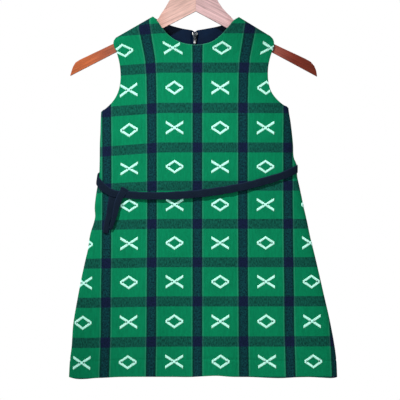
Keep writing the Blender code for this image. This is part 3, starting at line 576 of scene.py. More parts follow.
# %% Build a wall of cloth
def edge_run(points):
    """For each point of a grid, how far along the cloth each of the four edges is."""
    across = np.linalg.norm(np.diff(points, axis=1), axis=-1)
    up = np.linalg.norm(np.diff(points, axis=0), axis=-1)
    left = np.concatenate([np.zeros_like(across[:, :1]), np.cumsum(across, axis=1)], axis=1)
    low = np.concatenate([np.zeros_like(up[:1]), np.cumsum(up, axis=0)], axis=0)
    return {"first": left, "last": left[:, -1:] - left, "low": low, "top": low[-1:] - low}


def edge_profile(run, radius, at_edge):
    """1 inside the cloth, rounding down to at_edge at its edge."""
    near = 1.0 - np.clip(run / radius, 0.0, 1.0)
    return at_edge + (1.0 - at_edge) * np.sqrt(1.0 - near**2)


def grid_quads(index):
    """The faces of a grid whose points have these numbers."""
    return np.stack([index[:-1, :-1], index[:-1, 1:], index[1:, 1:], index[1:, :-1]], axis=-1).reshape(-1, 4)


def mapped_mesh(name, points, faces, map_name, places):
    """A smooth mesh of points in millimetres, with a UV map that holds each point's place."""
    mesh = bpy.data.meshes.new(name)
    mesh.from_pydata((points * MM).tolist(), [], faces)
    corners = np.empty(len(mesh.loops), int)
    mesh.loops.foreach_get("vertex_index", corners)
    mesh.uv_layers.new(name=map_name).data.foreach_set("uv", places[corners].reshape(-1))
    mesh.shade_smooth()
    return mesh


def wall(name, outer, inner, place, distances, materials, inner_material=None):
    """A closed wall between two grids, with the check's UV map and named distances from its edges."""
    rows, columns = outer.shape[:2]
    count = rows * columns
    index = np.arange(count).reshape(rows, columns)
    front = grid_quads(index)
    back = front[:, ::-1] + count
    rim = np.concatenate([index[0, :], index[1:, -1], index[-1, -2::-1], index[-2:0:-1, 0]])
    after = np.roll(rim, -1)
    sides = np.stack([after, rim, rim + count, after + count], axis=-1)
    vertices = np.vstack([outer.reshape(-1, 3), inner.reshape(-1, 3)])
    faces = np.vstack([front, back, sides])
    # a closed wall holds a positive volume when its faces point outward
    a, b, c = (vertices[faces[:, k]] for k in (0, 1, 2))
    d = vertices[faces[:, 3]]
    volume = np.sum(np.einsum("ij,ij->i", a, np.cross(b, c)) + np.einsum("ij,ij->i", a, np.cross(c, d)))
    if volume < 0:
        faces = faces[:, ::-1]
    mesh = mapped_mesh(name, vertices, faces.tolist(), "check", np.vstack([place.reshape(-1, 2)] * 2))
    for material in materials:
        mesh.materials.append(material)
    if inner_material is not None:
        choice = np.zeros(len(faces), int)
        choice[len(front) : 2 * len(front)] = inner_material.reshape(-1)
        mesh.polygons.foreach_set("material_index", choice)
    for label, distance in distances.items():
        far = mesh.attributes.new(label, "FLOAT", "POINT")
        far.data.foreach_set("value", np.tile(distance.reshape(-1), 2))
    mesh.update()
    return put_in_scene(name, mesh)


# %% [markdown]
# ## Wool cloth in a woven check
# The cloth is a plain-woven wool, dyed before weaving: warp and weft threads of green, and stripes of
# navy. Where a navy stripe crosses green threads the eye gets both, so a warp stripe is a dark teal and
# a weft stripe a dark green with short upright flecks, and only where navy crosses navy is it full
# dark. Wool is matt with a soft sheen at grazing angles. Real threads stand about 0.9 mm apart; the
# flecks are drawn near 2 mm, the smallest that still shows. An image of the check would blur close by
# and would have to be fitted to the cloth, so the shader works it out from the count of repeats: first
# which stripe a point lies in, then the unevenness of its threads, and last the tones mixed by both.

# %% Stripes of the check
REPEAT_X, REPEAT_Z = 79.2, 68.0
# half a stripe's width and the softness of its edge, in repeats
WARP_HALF, WARP_SOFT = 0.104, 0.009
WEFT_HALF, WEFT_SOFT = 0.128, 0.010
wool, tree, shader = new_material("wool_check_woven", {
    "Roughness": 0.88, "Sheen Weight": 0.04, "Sheen Roughness": 0.4, "Sheen Tint": paint("#63D9A8"),
    "Specular IOR Level": 0.04})
count = add_node(tree, "ShaderNodeUVMap", uv_map="check")
apart = add_node(tree, "ShaderNodeSeparateXYZ", {0: count})
# threads in millimetres, from repeats
threads = add_node(tree, "ShaderNodeVectorMath", {
    0: count, 1: (REPEAT_X, REPEAT_Z, 1.0)}, operation="MULTIPLY")
# the stripe's edge wanders by up to half a millimetre, every 2 mm or so, so it isn't ruled
wander = add_node(tree, "ShaderNodeTexNoise", {"Vector": threads, "Scale": 0.45, "Detail": 2.0})
shake = add_node(tree, "ShaderNodeMath", {0: wander, 1: 0.5}, operation="SUBTRACT")
shake = add_node(tree, "ShaderNodeMath", {0: shake, 1: 0.014}, operation="MULTIPLY")
# how far the middle of the nearest stripe is, in repeats, and 1 inside the stripe
near, stripe = {}, {}
for label, axis, half, soft in (("warp", "X", WARP_HALF, WARP_SOFT), ("weft", "Y", WEFT_HALF, WEFT_SOFT)):
    near[label] = add_node(tree, "ShaderNodeMath", {0: apart.outputs[axis], 1: 0.5}, operation="PINGPONG")
    moved = add_node(tree, "ShaderNodeMath", {0: near[label], 1: shake}, operation="ADD")
    stripe[label] = add_node(tree, "ShaderNodeMapRange", {
        "Value": moved, "From Min": half + soft, "From Max": half - soft}, interpolation_type="SMOOTHSTEP")
print("stripes of", round(2 * WARP_HALF * REPEAT_X, 1), "mm in the warp and",
      round(2 * WEFT_HALF * REPEAT_Z, 1), "mm in the weft")

# %% Flecks, mottle and uneven dye
# flecks: green warp over navy weft, 2 mm apart and 5 mm long. Mottle: both threads in the warp stripe,
# about as wide as high. Dye: uneven along a few warp threads at a time, 3 mm wide and 20 mm long.
# Each row has the pattern's waves a millimetre, across and up, its detail and roughness, and the
# noise that becomes 0 and 1
share = {}
for label, waves, detail, rough, low, high in (
        ("fleck", (0.5, 0.2, 1.0), 2.0, 0.75, 0.36, 0.64),
        ("mottle", (0.42, 0.34, 1.0), 2.0, 0.75, 0.36, 0.64),
        ("dye", (0.30, 0.05, 1.0), 3.0, 0.7, 0.3, 0.7)):
    scaled = add_node(tree, "ShaderNodeMapping", {"Vector": threads, "Scale": waves})
    noise = add_node(tree, "ShaderNodeTexNoise", {
        "Vector": scaled, "Scale": 1.0, "Detail": detail, "Roughness": rough})
    share[label] = add_node(tree, "ShaderNodeMapRange", {"Value": noise, "From Min": low, "From Max": high})
# the warp stripe is greener toward its edge
share["warp edge"] = add_node(tree, "ShaderNodeMapRange", {
    "Value": near["warp"], "From Min": 0.05, "From Max": 0.095})
# one paler thread runs just outside each edge of a warp stripe
beside = add_node(tree, "ShaderNodeMath", {0: near["warp"], 1: 0.122}, operation="SUBTRACT")
beside = add_node(tree, "ShaderNodeMath", {0: beside}, operation="ABSOLUTE")
share["pale thread"] = add_node(tree, "ShaderNodeMapRange", {
    "Value": beside, "From Min": 0.012, "From Max": 0.004, "To Max": 0.7})
print("patterns", list(share))

# %% Painted shade at the seams, and a painted highlight on the neck's fold
# how far from a seam, and from the neck's edge, they are drawn, in millimetres
SEAM_REACH, FOLD_HIGHLIGHT_REACH = 0.9, 1.7
# seams sink by a hair, and painted shade darkens them
seam_far = add_node(tree, "ShaderNodeAttribute", attribute_name="seam")
seam_line = add_node(tree, "ShaderNodeMapRange", {
    "Value": seam_far.outputs["Fac"], "From Min": SEAM_REACH, "From Max": 0.2},
    interpolation_type="SMOOTHSTEP")
share["seam"] = add_node(tree, "ShaderNodeMath", {0: seam_line, 1: 0.55}, operation="MULTIPLY")
# the neck's edge is rolled over the facing and pressed; a painted highlight makes its fold paler, where it
# would catch the light
neck_far = add_node(tree, "ShaderNodeAttribute", attribute_name="neck_edge")
share["fold"] = add_node(tree, "ShaderNodeMapRange", {
    "Value": neck_far.outputs["Fac"], "From Min": FOLD_HIGHLIGHT_REACH, "From Max": 0.5, "To Max": 0.4},
    interpolation_type="SMOOTHSTEP")
print("drawn within", SEAM_REACH, "mm of a seam and", FOLD_HIGHLIGHT_REACH, "mm of the neck's edge")

# %% Tones of warp, weft and crossing
# each row makes a tone from two others, or from two colours, by a share or by the stripe it lies in
tone = {}
for label, by, low, high in (
        ("ground", share["dye"], "#067850", "#08885B"),
        ("weft", share["fleck"], "#093C32", "#156252"),
        ("warp thread", share["warp edge"], "#114A4E", "#083C33"),
        ("warp", share["mottle"], "#08222A", "warp thread"),
        ("crossing", share["mottle"], "#0C1A2C", "#192244"),
        ("lined ground", share["pale thread"], "ground", "#348A6E"),
        ("lined weft", share["pale thread"], "weft", "#356660"),
        ("green warp", stripe["weft"], "lined ground", "lined weft"),
        ("navy warp", stripe["weft"], "warp", "crossing"),
        ("check", stripe["warp"], "green warp", "navy warp"),
        # painted shade along the seams
        ("seamed", share["seam"], "check", "#03201A"),
        # a painted highlight along the neck's rolled fold
        ("folded", share["fold"], "seamed", "#4C9C80")):
    ends = [tone[end].outputs[2] if end in tone else paint(end) for end in (low, high)]
    tone[label] = add_node(tree, "ShaderNodeMix", {0: by, 6: ends[0], 7: ends[1]}, data_type="RGBA")
tree.links.new(tone["folded"].outputs[2], shader.inputs["Base Color"])
print("tones mixed", len(tone))

# %% Thread relief of the wool
# plain weave: over and under by turns, drawn at 1.8 mm a pair, and a softer nap on top
WEAVE_TURN = 3.4907  # radians a millimetre, which is one turn in 1.8 mm
spun = add_node(tree, "ShaderNodeVectorMath", {
    0: threads, 1: (WEAVE_TURN, WEAVE_TURN, 0.0)}, operation="MULTIPLY")
waves = add_node(tree, "ShaderNodeVectorMath", {0: spun}, operation="SINE")
wave_parts = add_node(tree, "ShaderNodeSeparateXYZ", {0: waves})
weave = add_node(tree, "ShaderNodeMath", {
    0: wave_parts.outputs["X"], 1: wave_parts.outputs["Y"]}, operation="MULTIPLY")
nap = add_node(tree, "ShaderNodeTexNoise", {
    "Vector": threads, "Scale": 1.3, "Detail": 3.0, "Roughness": 0.7})
relief = add_node(tree, "ShaderNodeMath", {0: weave, 1: 0.5, 2: nap}, operation="MULTIPLY_ADD")
sunk = add_node(tree, "ShaderNodeMath", {0: seam_line, 1: -2.5, 2: relief}, operation="MULTIPLY_ADD")
bump = add_node(tree, "ShaderNodeBump", {"Height": sunk, "Strength": 0.5, "Distance": 0.00025})
tree.links.new(bump.outputs[0], shader.inputs["Normal"])
print("wool check:", len(tree.nodes), "nodes")

# %% [markdown]
# ## Navy lining
# The lining is a plain-woven acetate or viscose, smooth and a little shiny, with very fine threads. Its
# shine runs in soft patches because the cloth behind it isn't flat: a noise paints that sheen into its
# colour, mixing two tones in patches 20 mm across. A second noise, drawn at a millimetre, stands for its
# threads.

# %% Lining material
def mottled(name, values, waves, dark, light):
    """A material whose tone wanders between two colours, in so many waves a metre. Also its noise."""
    material, tree, shader = new_material(name, values)
    coords = add_node(tree, "ShaderNodeTexCoord")
    noise = add_node(tree, "ShaderNodeTexNoise", {"Vector": coords.outputs["Object"], "Scale": waves})
    tone = add_node(tree, "ShaderNodeMix", {0: noise, 6: paint(dark), 7: paint(light)}, data_type="RGBA")
    tree.links.new(tone.outputs[2], shader.inputs["Base Color"])
    return material, tree, shader, noise


# its two tones mix in patches, and the lighter ones are painted sheen
lining, tree, shader = mottled("navy_lining_satin", {"Roughness": 0.42, "Specular IOR Level": 0.1},
                               45.0, "#07172F", "#0D2643")[:3]
coords = add_node(tree, "ShaderNodeTexCoord")
fine = add_node(tree, "ShaderNodeTexNoise", {
    "Vector": coords.outputs["Object"], "Scale": 900.0, "Detail": 1.0})
bump = add_node(tree, "ShaderNodeBump", {"Height": fine, "Strength": 0.25, "Distance": 0.0001})
tree.links.new(bump.outputs[0], shader.inputs["Normal"])
print("lining:", len(tree.nodes), "nodes")

# %% [markdown]
# ## The front and the two backs
# Each panel's grid gives its outside, and the inside lies two millimetres in, three where the hem turns
# up. The line of the hem's stitches sinks by half a millimetre.

# %% Make the three panels
# how far a cut edge rounds in, what share of the thickness is left at it, and a length far from any edge
EDGE_ROUND, EDGE_LEFT, FAR = 1.0, 0.25, 9.0
# how deep and how wide the hem's stitches sink the wool, and how much the turning adds inside
STITCH_DIP, DIP_WIDE, TURN_THICK = 0.55, 1.5, 1.1


def panel(name, points, normals, seams, cut_edges, neck):
    """A panel of the dress from its outer grid. seams, cut_edges and neck pick out edges of the grid."""
    runs = edge_run(points)
    full = np.ones(points.shape[:2])
    for edge, where in cut_edges:
        full = np.minimum(full, np.where(where, edge_profile(runs[edge], EDGE_ROUND, EDGE_LEFT), 1.0))
    seam = np.full(points.shape[:2], FAR)
    for edge, where in seams:
        seam = np.minimum(seam, np.where(where, runs[edge], FAR))
    distances = {"seam": seam, "neck_edge": np.where(neck, runs["top"], FAR)}
    up = runs["low"]
    dip = STITCH_DIP * np.exp(-(((up - HEM_TURN) / DIP_WIDE) ** 2))
    turned = TURN_THICK * blend(HEM_TURN + 2.0, HEM_TURN - 1.0, up)
    middle = points - CLOTH / 2 * normals
    outer = middle + ((CLOTH / 2 - dip) * full)[..., None] * normals
    inner = middle - ((CLOTH / 2 + turned) * full)[..., None] * normals
    faces_up = (up[:-1, :-1] + up[1:, 1:]) / 2
    inside = (faces_up > HEM_TURN + 1.0).astype(int)
    made = wall(name, outer, inner, check_place(points), distances, [wool, lining], inside)
    return made, outer


rows_grid = np.broadcast_to(row_shares()[:, None], panels["front"][0].shape[:2])
low_rows = rows_grid <= UNDERARM_ROW
columns_grid = np.arange(COLUMNS + 1)[None, :]
on_neck = (columns_grid > SHOULDER_COLUMNS) & (columns_grid < last_column)
front, front_outer = panel(
    "front_panel", *panels["front"],
    seams=[("first", low_rows), ("last", low_rows), ("top", ~on_neck)],
    cut_edges=[("low", True), ("top", on_neck), ("first", ~low_rows), ("last", ~low_rows)], neck=on_neck)
backs, backs_outer = {}, {}
for side_name in ("left", "right"):
    points, normals = panels[side_name]
    low = np.broadcast_to(row_shares()[:, None], points.shape[:2]) <= UNDERARM_ROW
    neck = np.arange(points.shape[1])[None, :] > SHOULDER_COLUMNS
    backs[side_name], backs_outer[side_name] = panel(
        "back_panel_" + side_name, points, normals,
        seams=[("first", low), ("top", ~neck), ("last", True)],
        cut_edges=[("low", True), ("top", neck), ("first", ~low)], neck=neck)
for made in (front, backs["left"], backs["right"]):
    print(made.name, len(made.data.polygons) * 2, "triangles")

# %% [markdown]
# ## Motifs of white thread
# In each cell of the check stands a cross or a lozenge, by turns. They are woven with a thick white
# thread that floats up and down over the cloth, column by column, so every stroke ends upright. The
# chart below lists the floats of one half, in millimetres from the motif's middle; the other half is
# its mirror. At the crossing and in the lozenge's corners the cloth shows through small eyes, in the
# white floats' shade; a few dark floats fill them, the cloth's colour darkened by painted shade.
#
# Geometry Nodes lay them. A point stands for each float, holding its place counted in repeats, and
# Sample UV Surface finds that place on the cloth, for the float's two ends and its middle. A float
# whose ends aren't both on the cloth is dropped, so motifs stop at the cut edges as woven ones do.

# %% Chart of the motifs
# how far apart the columns of floats stand, in millimetres
PITCH = 1.6
Float = namedtuple("Float", "column low high dark")
CROSS = [Float(0, -2.6, 2.6, 0), Float(1, -3.2, 3.2, 0), Float(2, 1.2, 4.6, 0), Float(2, -4.6, -1.2, 0),
         Float(2, -1.2, 1.2, 1)]
# an arm of the cross: each column stands 1.01 mm further out, and its float runs 2.55 mm either way
for column in range(3, 10):
    centre = 1.01 * column
    CROSS += [Float(column, centre - 2.55, centre + 2.55, 0), Float(column, -centre - 2.55, 2.55 - centre, 0)]
LOZENGE = [Float(6, 0.7, 5.8, 0), Float(6, -5.8, -0.7, 0), Float(7, 1.4, 4.8, 0), Float(7, -4.8, -1.4, 0),
           Float(7, -1.4, 1.4, 1), Float(8, -3.8, 3.8, 0), Float(9, -2.7, 2.7, 0)]
# a side of the lozenge: its inner and its outer edge come down at slightly different slopes
for column in range(0, 6):
    inside, outside = 7.7 - 1.17 * column, 12.1 - 1.05 * column
    LOZENGE += [Float(column, inside, outside, 0), Float(column, -outside, -inside, 0)]


def chart_mesh(middles, reaches, darks):
    """Points that hold a thread's middle, half its run and whether it is dark, all in repeats."""
    mesh = bpy.data.meshes.new("chart")
    mesh.from_pydata(middles, [], [])
    mesh.attributes.new("reach", "FLOAT_VECTOR", "POINT").data.foreach_set("vector", np.ravel(reaches))
    mesh.attributes.new("dark", "BOOLEAN", "POINT").data.foreach_set("value", darks)
    return mesh


def chart_points(across, down):
    """Every float of the motifs in a range of cells."""
    middles, reaches, darks = [], [], []
    for cell_x in across:
        for cell_z in down:
            chart = CROSS if (cell_x + cell_z) % 2 else LOZENGE
            for item in chart:
                for mirror in (-1, 1) if item.column else (1,):
                    u = cell_x + 0.5 + mirror * item.column * PITCH / REPEAT_X
                    v = -(cell_z + 0.5) + (item.low + item.high) / 2 / REPEAT_Z
                    middles.append((u, v, 0.0))
                    reaches.append((0.0, (item.high - item.low) / 2 / REPEAT_Z, 0.0))
                    darks.append(bool(item.dark))
    return chart_mesh(middles, reaches, darks)


print("floats in a cross and a lozenge:", [sum(2 if f.column else 1 for f in c) for c in (CROSS, LOZENGE)])

# %% One float of thread
def thread_mesh():
    """A thread one long, one wide and one high, round on top and sunk at both ends."""
    stations = [(-0.5, 0.55, 0.35), (-0.36, 0.96, 0.9), (0.0, 1.0, 1.0), (0.36, 0.96, 0.9), (0.5, 0.55, 0.35)]
    section = [(-0.5, -0.3), (-0.42, 0.45), (-0.16, 0.93), (0.16, 0.93), (0.42, 0.45), (0.5, -0.3)]
    vertices = [(x * wide, y, z * high if z > 0 else z) for y, wide, high in stations for x, z in section]
    sides = len(section)
    faces = []
    for k in range(len(stations) - 1):
        for c in range(sides):
            a, b = k * sides + c, k * sides + (c + 1) % sides
            faces.append((a, a + sides, b + sides, b))
    faces.append(tuple(range(sides)))
    faces.append(tuple((len(stations) - 1) * sides + c for c in range(sides))[::-1])
    mesh = bpy.data.meshes.new("thread")
    mesh.from_pydata(vertices, [], faces)
    mesh.shade_smooth()
    return mesh


thread_shape = put_in_scene("thread_shape", thread_mesh())
THREAD_FACES = len(thread_shape.data.polygons)
print("a thread has", THREAD_FACES, "faces")

# %% [markdown]
# ## White and dark yarn
# The motifs' yarn is bleached wool or cotton, thick and soft: very light and matt, with a faint green
# tint. A low emission is a painted glow, which keeps the yarn pale where the cloth round it is in shade.
# The eyes are floats of a darker, greyed yarn: the cloth seen between the white floats, darkened by
# painted shade.

# %% White and dark thread materials
# the emission is a painted glow, not a lamp
white_thread, tree, shader, fibre = mottled("white_float_yarn", {
    "Roughness": 0.8, "Sheen Weight": 0.15, "Emission Color": paint("#B4FFF6"), "Emission Strength": 0.2},
    700.0, "#B2EEDA", "#D0FFEF")
bump = add_node(tree, "ShaderNodeBump", {"Height": fibre, "Strength": 0.3, "Distance": 0.0001})
tree.links.new(bump.outputs[0], shader.inputs["Normal"])
# the eyes' floats: the cloth's colour, darkened by painted shade
eye_shade_thread = mottled("grey_float_yarn", {"Roughness": 0.85}, 700.0, "#2C4A48", "#4A6B66")[0]
print("yarns", white_thread.name, eye_shade_thread.name)

# %% Geometry tree that lays floats: what it is given
def new_tree(name, inputs, output):
    """An empty geometry tree with named inputs and one output, and the node that gives the inputs."""
    tree = bpy.data.node_groups.new(name, "GeometryNodeTree")
    for label, kind in inputs.items():
        tree.interface.new_socket(label, in_out="INPUT", socket_type="NodeSocket" + kind)
    tree.interface.new_socket(output, in_out="OUTPUT", socket_type="NodeSocketGeometry")
    return tree, add_node(tree, "NodeGroupInput")


motifs, given = new_tree("lay_floats_on_cloth", {
    "Chart": "Geometry", "Cloth": "Object", "Thread": "Object", "Thread width": "Float",
    "Thread height": "Float", "White": "Material", "Dark": "Material"}, "Floats")
cloth_info = add_node(motifs, "GeometryNodeObjectInfo", {"Object": given.outputs["Cloth"]})
thread_info = add_node(motifs, "GeometryNodeObjectInfo", {"Object": given.outputs["Thread"]})
counted = add_node(motifs, "GeometryNodeInputNamedAttribute", {"Name": "check"}, data_type="FLOAT_VECTOR")
reach = add_node(motifs, "GeometryNodeInputNamedAttribute", {"Name": "reach"}, data_type="FLOAT_VECTOR")
dark = add_node(motifs, "GeometryNodeInputNamedAttribute", {"Name": "dark"}, data_type="BOOLEAN")
print("inputs", list(given.outputs.keys())[:-1])

# %% Find each float's place on the cloth
place_here = add_node(motifs, "GeometryNodeInputPosition")
facing_here = add_node(motifs, "GeometryNodeInputNormal")
below, above = (add_node(motifs, "ShaderNodeVectorMath", {0: place_here, 1: reach}, operation=way)
                for way in ("SUBTRACT", "ADD"))
found = {}
for label, value, spot in (("low", place_here, below), ("high", place_here, above),
                           ("middle", place_here, place_here), ("facing", facing_here, place_here)):
    found[label] = add_node(motifs, "GeometryNodeSampleUVSurface", {
        "Mesh": cloth_info.outputs["Geometry"], "Value": value, "UV Map": counted, "Sample UV": spot},
        data_type="FLOAT_VECTOR")
both_ends = add_node(motifs, "FunctionNodeBooleanMath", {
    0: found["low"].outputs["Is Valid"], 1: found["high"].outputs["Is Valid"]}, operation="AND")
along = add_node(motifs, "ShaderNodeVectorMath", {
    0: found["high"].outputs["Value"], 1: found["low"].outputs["Value"]}, operation="SUBTRACT")
length = add_node(motifs, "ShaderNodeVectorMath", {0: along}, operation="LENGTH")
turn = add_node(motifs, "FunctionNodeAxesToRotation", {
    "Primary Axis": found["facing"].outputs["Value"], "Secondary Axis": along}, primary_axis="Z",
    secondary_axis="Y")
print("looked up", list(found))

# %% Lay the floats and give them their yarns
# every value is captured before the points move, because moving them changes what Position reads
capture = add_node(motifs, "GeometryNodeCaptureAttribute", {0: given.outputs["Chart"]})
for kind, label, value in (
        ("VECTOR", "middle", found["middle"].outputs["Value"]), ("ROTATION", "turn", turn.outputs[0]),
        ("FLOAT", "length", length.outputs["Value"]), ("BOOLEAN", "kept", both_ends.outputs[0])):
    capture.capture_items.new(kind, label)
    motifs.links.new(value, capture.inputs[label])
kept = add_node(motifs, "GeometryNodeSeparateGeometry", {0: capture, "Selection": capture.outputs["kept"]})
placed = add_node(motifs, "GeometryNodeSetPosition", {0: kept, "Position": capture.outputs["middle"]})
size = add_node(motifs, "ShaderNodeCombineXYZ", {
    "X": given.outputs["Thread width"], "Y": capture.outputs["length"], "Z": given.outputs["Thread height"]})
laid = add_node(motifs, "GeometryNodeInstanceOnPoints", {
    "Points": placed, "Instance": thread_info.outputs["Geometry"], "Rotation": capture.outputs["turn"],
    "Scale": size})
solid = add_node(motifs, "GeometryNodeRealizeInstances", {0: laid})
white_set = add_node(motifs, "GeometryNodeSetMaterial", {0: solid, "Material": given.outputs["White"]})
dark_set = add_node(motifs, "GeometryNodeSetMaterial", {
    0: white_set, "Selection": dark, "Material": given.outputs["Dark"]})
add_node(motifs, "NodeGroupOutput", {0: dark_set})
print("tree that lays floats:", len(motifs.nodes), "nodes")


# %% Run a tree, on a guide of the cloth
def grown(name, start_mesh, tree, values):
    """A plain mesh object made by a geometry tree from a start mesh and values for its inputs."""
    seed = put_in_scene(name + "_seed", start_mesh)
    grow = seed.modifiers.new("grow", "NODES")
    grow.node_group = tree
    # a modifier knows its inputs by their identifiers, not by their names
    for socket in tree.interface.items_tree:
        if socket.name in values:
            grow[socket.identifier] = values[socket.name]
    bpy.context.view_layer.update()
    mesh = bpy.data.meshes.new_from_object(seed.evaluated_get(bpy.context.evaluated_depsgraph_get()))
    mesh.name = name
    bpy.data.objects.remove(seed)
    return put_in_scene(name, mesh)


def lay_threads(name, chart, guide, wide, high, pale, dark):
    """Threads of one width and height, in millimetres, laid where a chart says."""
    return grown(name, chart, motifs, {"Cloth": guide, "Thread": thread_shape, "Thread width": wide * MM,
                                       "Thread height": high * MM, "White": pale, "Dark": dark})


def guide_cloth(name, outer, place):
    """The outer face alone, with its count of repeats, for laying things on."""
    rows, columns = outer.shape[:2]
    quads = grid_quads(np.arange(rows * columns).reshape(rows, columns))
    corner = outer.reshape(-1, 3)
    first = np.cross(corner[quads[:, 1]] - corner[quads[:, 0]], corner[quads[:, 3]] - corner[quads[:, 0]])
    wanted = -1.0 if name == "front" else 1.0
    if np.sign(np.sum(first[:, 1])) != wanted:
        quads = quads[:, ::-1]
    mesh = mapped_mesh(name + "_guide", corner, quads.tolist(), "check", place.reshape(-1, 2))
    return put_in_scene(name + "_guide", mesh)


# %% [markdown]
# ## Stitches beside the zip
# Two rows of machine stitches hold the zip's tapes, 6 mm either side of the centre back, and a short row
# crosses below its end. Each stitch is a short green thread. Nothing new has to be built for them: they
# are a chart of their own for the tree that lays the motifs.

# %% Chart of the stitches
# a stitch, the gap after it, how far the rows stand off the centre back, and where the short row starts
STITCH, STITCH_GAP, ROW_OFF, FIRST_ACROSS = 2.5, 0.6, 6.0, 1.6
# the height of the zip's top end
ZIP_TOP = -152.0
green_thread = mottled("green_sewing_thread", {"Roughness": 0.6}, 1200.0, "#0A5C40", "#178A63")[0]


def place_of(x, z):
    """Repeats across and down at a place near the centre back."""
    across, down = repeats_at(*pixel_of(x, z))
    return (across, float(down), 0.0)


def stitch_points(outward):
    """Every stitch of one side: the row beside the zip, then its half of the row below."""
    low = ZIP_TOP - ZIP_LENGTH - ROW_OFF
    heights = np.arange(ZIP_TOP + 2.0, low, -(STITCH + STITCH_GAP))
    middles = [place_of(BACK_CENTRE + outward * ROW_OFF, z) for z in heights]
    reaches = [(0.0, STITCH / 2 / REPEAT_Z, 0.0)] * len(middles)
    for off in np.arange(FIRST_ACROSS, ROW_OFF, STITCH + STITCH_GAP):
        middles.append(place_of(BACK_CENTRE + outward * off, low))
        reaches.append((STITCH / 2 / REPEAT_X, 0.0, 0.0))
    return chart_mesh(middles, reaches, [False] * len(middles))


print("a stitch every", STITCH + STITCH_GAP, "mm")


FLOAT_SIZE, STITCH_SIZE = (1.7, 0.75), (0.5, 0.35)
CELLS_ACROSS, CELLS_DOWN = range(-3, 5), range(-2, 10)
motif_pieces, stitch_pieces = {}, {}
for name, outer in (("front", front_outer), ("left", backs_outer["left"]), ("right", backs_outer["right"])):
    guide = guide_cloth(name, outer, check_place(panels[name][0]))
    motif_pieces[name] = lay_threads("motifs_" + name, chart_points(CELLS_ACROSS, CELLS_DOWN), guide,
                                     *FLOAT_SIZE, white_thread, eye_shade_thread)
    if name != "front":
        stitches = stitch_points(-1.0 if name == "left" else 1.0)
        stitch_pieces[name] = lay_threads("zip_stitches_" + name, stitches, guide, *STITCH_SIZE,
                                          green_thread, green_thread)
        print("stitches", name, len(stitch_pieces[name].data.polygons) // THREAD_FACES)
    bpy.data.objects.remove(guide)
    print("motifs", name, sum(len(p.vertices) - 2 for p in motif_pieces[name].data.polygons), "triangles")
bpy.data.objects.remove(thread_shape)

# %% [markdown]
# ## The lining at the back neck, and the zip's tapes
# Looking in at the neck, the eye meets the lining of the backs, with the zip between its two edges. The
# lining is a thin wall inside the wool, cut from the same grid as the backs so that it can't cross them,
# with a crease pressed in beside the zip's slit, on the wearer's left.

# %% Neck lining and tapes
# a tape's thickness
TAPE = 0.8
# shares of the way from the centre back to the slit's edge where a tape has its points
TAPE_STEPS = np.array([0.02, 0.3, 0.6, 0.8, 1.0])
# the lining shows from this column of the grid to the slit
LINING_COLUMN = 40
# the crease: its depth and width, a point on it, and the direction across it
PRESS_DEPTH, PRESS_WIDE, PRESS_X, PRESS_Z = 0.5, 1.6, 14.0, -162.0
PRESS_ACROSS = (0.41, -0.91)
# and where it fades in and out again across the back
PRESS_START, PRESS_END = (8.0, 13.0), (40.0, 32.0)


def plain_wall(name, outer, inner, material):
    """A closed thin wall of one material."""
    rows, columns = outer.shape[:2]
    return wall(name, outer, inner, np.zeros((rows, columns, 2)), {}, [material])


def row_below_top(points, column, drop):
    """The row of a grid that lies a given length below its top, in one column."""
    return int(np.argmin(np.abs(points[:, column, 2] - (points[-1, column, 2] - drop))))


linings, tapes = {}, {}
for side_name in ("left", "right"):
    points, normals = panels[side_name]
    slit = COLUMNS // 2
    window = (slice(row_below_top(points, slit, LINING_DEPTH), None), slice(LINING_COLUMN, slit + 1))
    here, away = points[window], normals[window]
    off = (here[..., 0] - PRESS_X) * PRESS_ACROSS[0] + (here[..., 2] - PRESS_Z) * PRESS_ACROSS[1]
    press = PRESS_DEPTH * np.exp(-((off / PRESS_WIDE) ** 2))
    press = press * blend(*PRESS_START, here[..., 0]) * blend(*PRESS_END, here[..., 0])
    face = CLOTH + GAP
    linings[side_name] = plain_wall("back_neck_lining_" + side_name, here - face * away,
                                    here - (face + LINING + press)[..., None] * away, lining)
    first_row = row_below_top(points, -1, ZIP_LENGTH)
    centre, edge = points[first_row:, -1], points[first_row:, slit]
    lateral = np.abs(edge[:, 0] - centre[:, 0])[:, None]
    steps = TAPE_STEPS[None, :, None] * (1.0 - GAP / lateral)[:, None, :]
    strip = centre[:, None] * (1 - steps) + edge[:, None] * steps
    square = np.repeat(normals[first_row:, slit][:, None], len(TAPE_STEPS), axis=1)
    tapes[side_name] = plain_wall("zip_tape_cloth_" + side_name, strip - face * square,
                                  strip - (face + TAPE) * square, lining)
    print(side_name, "lining", here.shape[:2], "tape", strip.shape[:2])

# %% [markdown]
# ## The belt
# The belt is a tube of navy wool, turned and pressed flat, knotted at the wearer's right. Each stretch
# is a strap laid along a route on the unrolled dress, a little proud of it, with a rounded section. A
# curve with a flat bevel would do for a straight belt, but this one has to bend with the cloth and lie
# on every fold of it.

# %% Routes of the belt
BELT_THICK, TAIL_THICK, SECTION_STEPS = 2.4, 2.2, 720
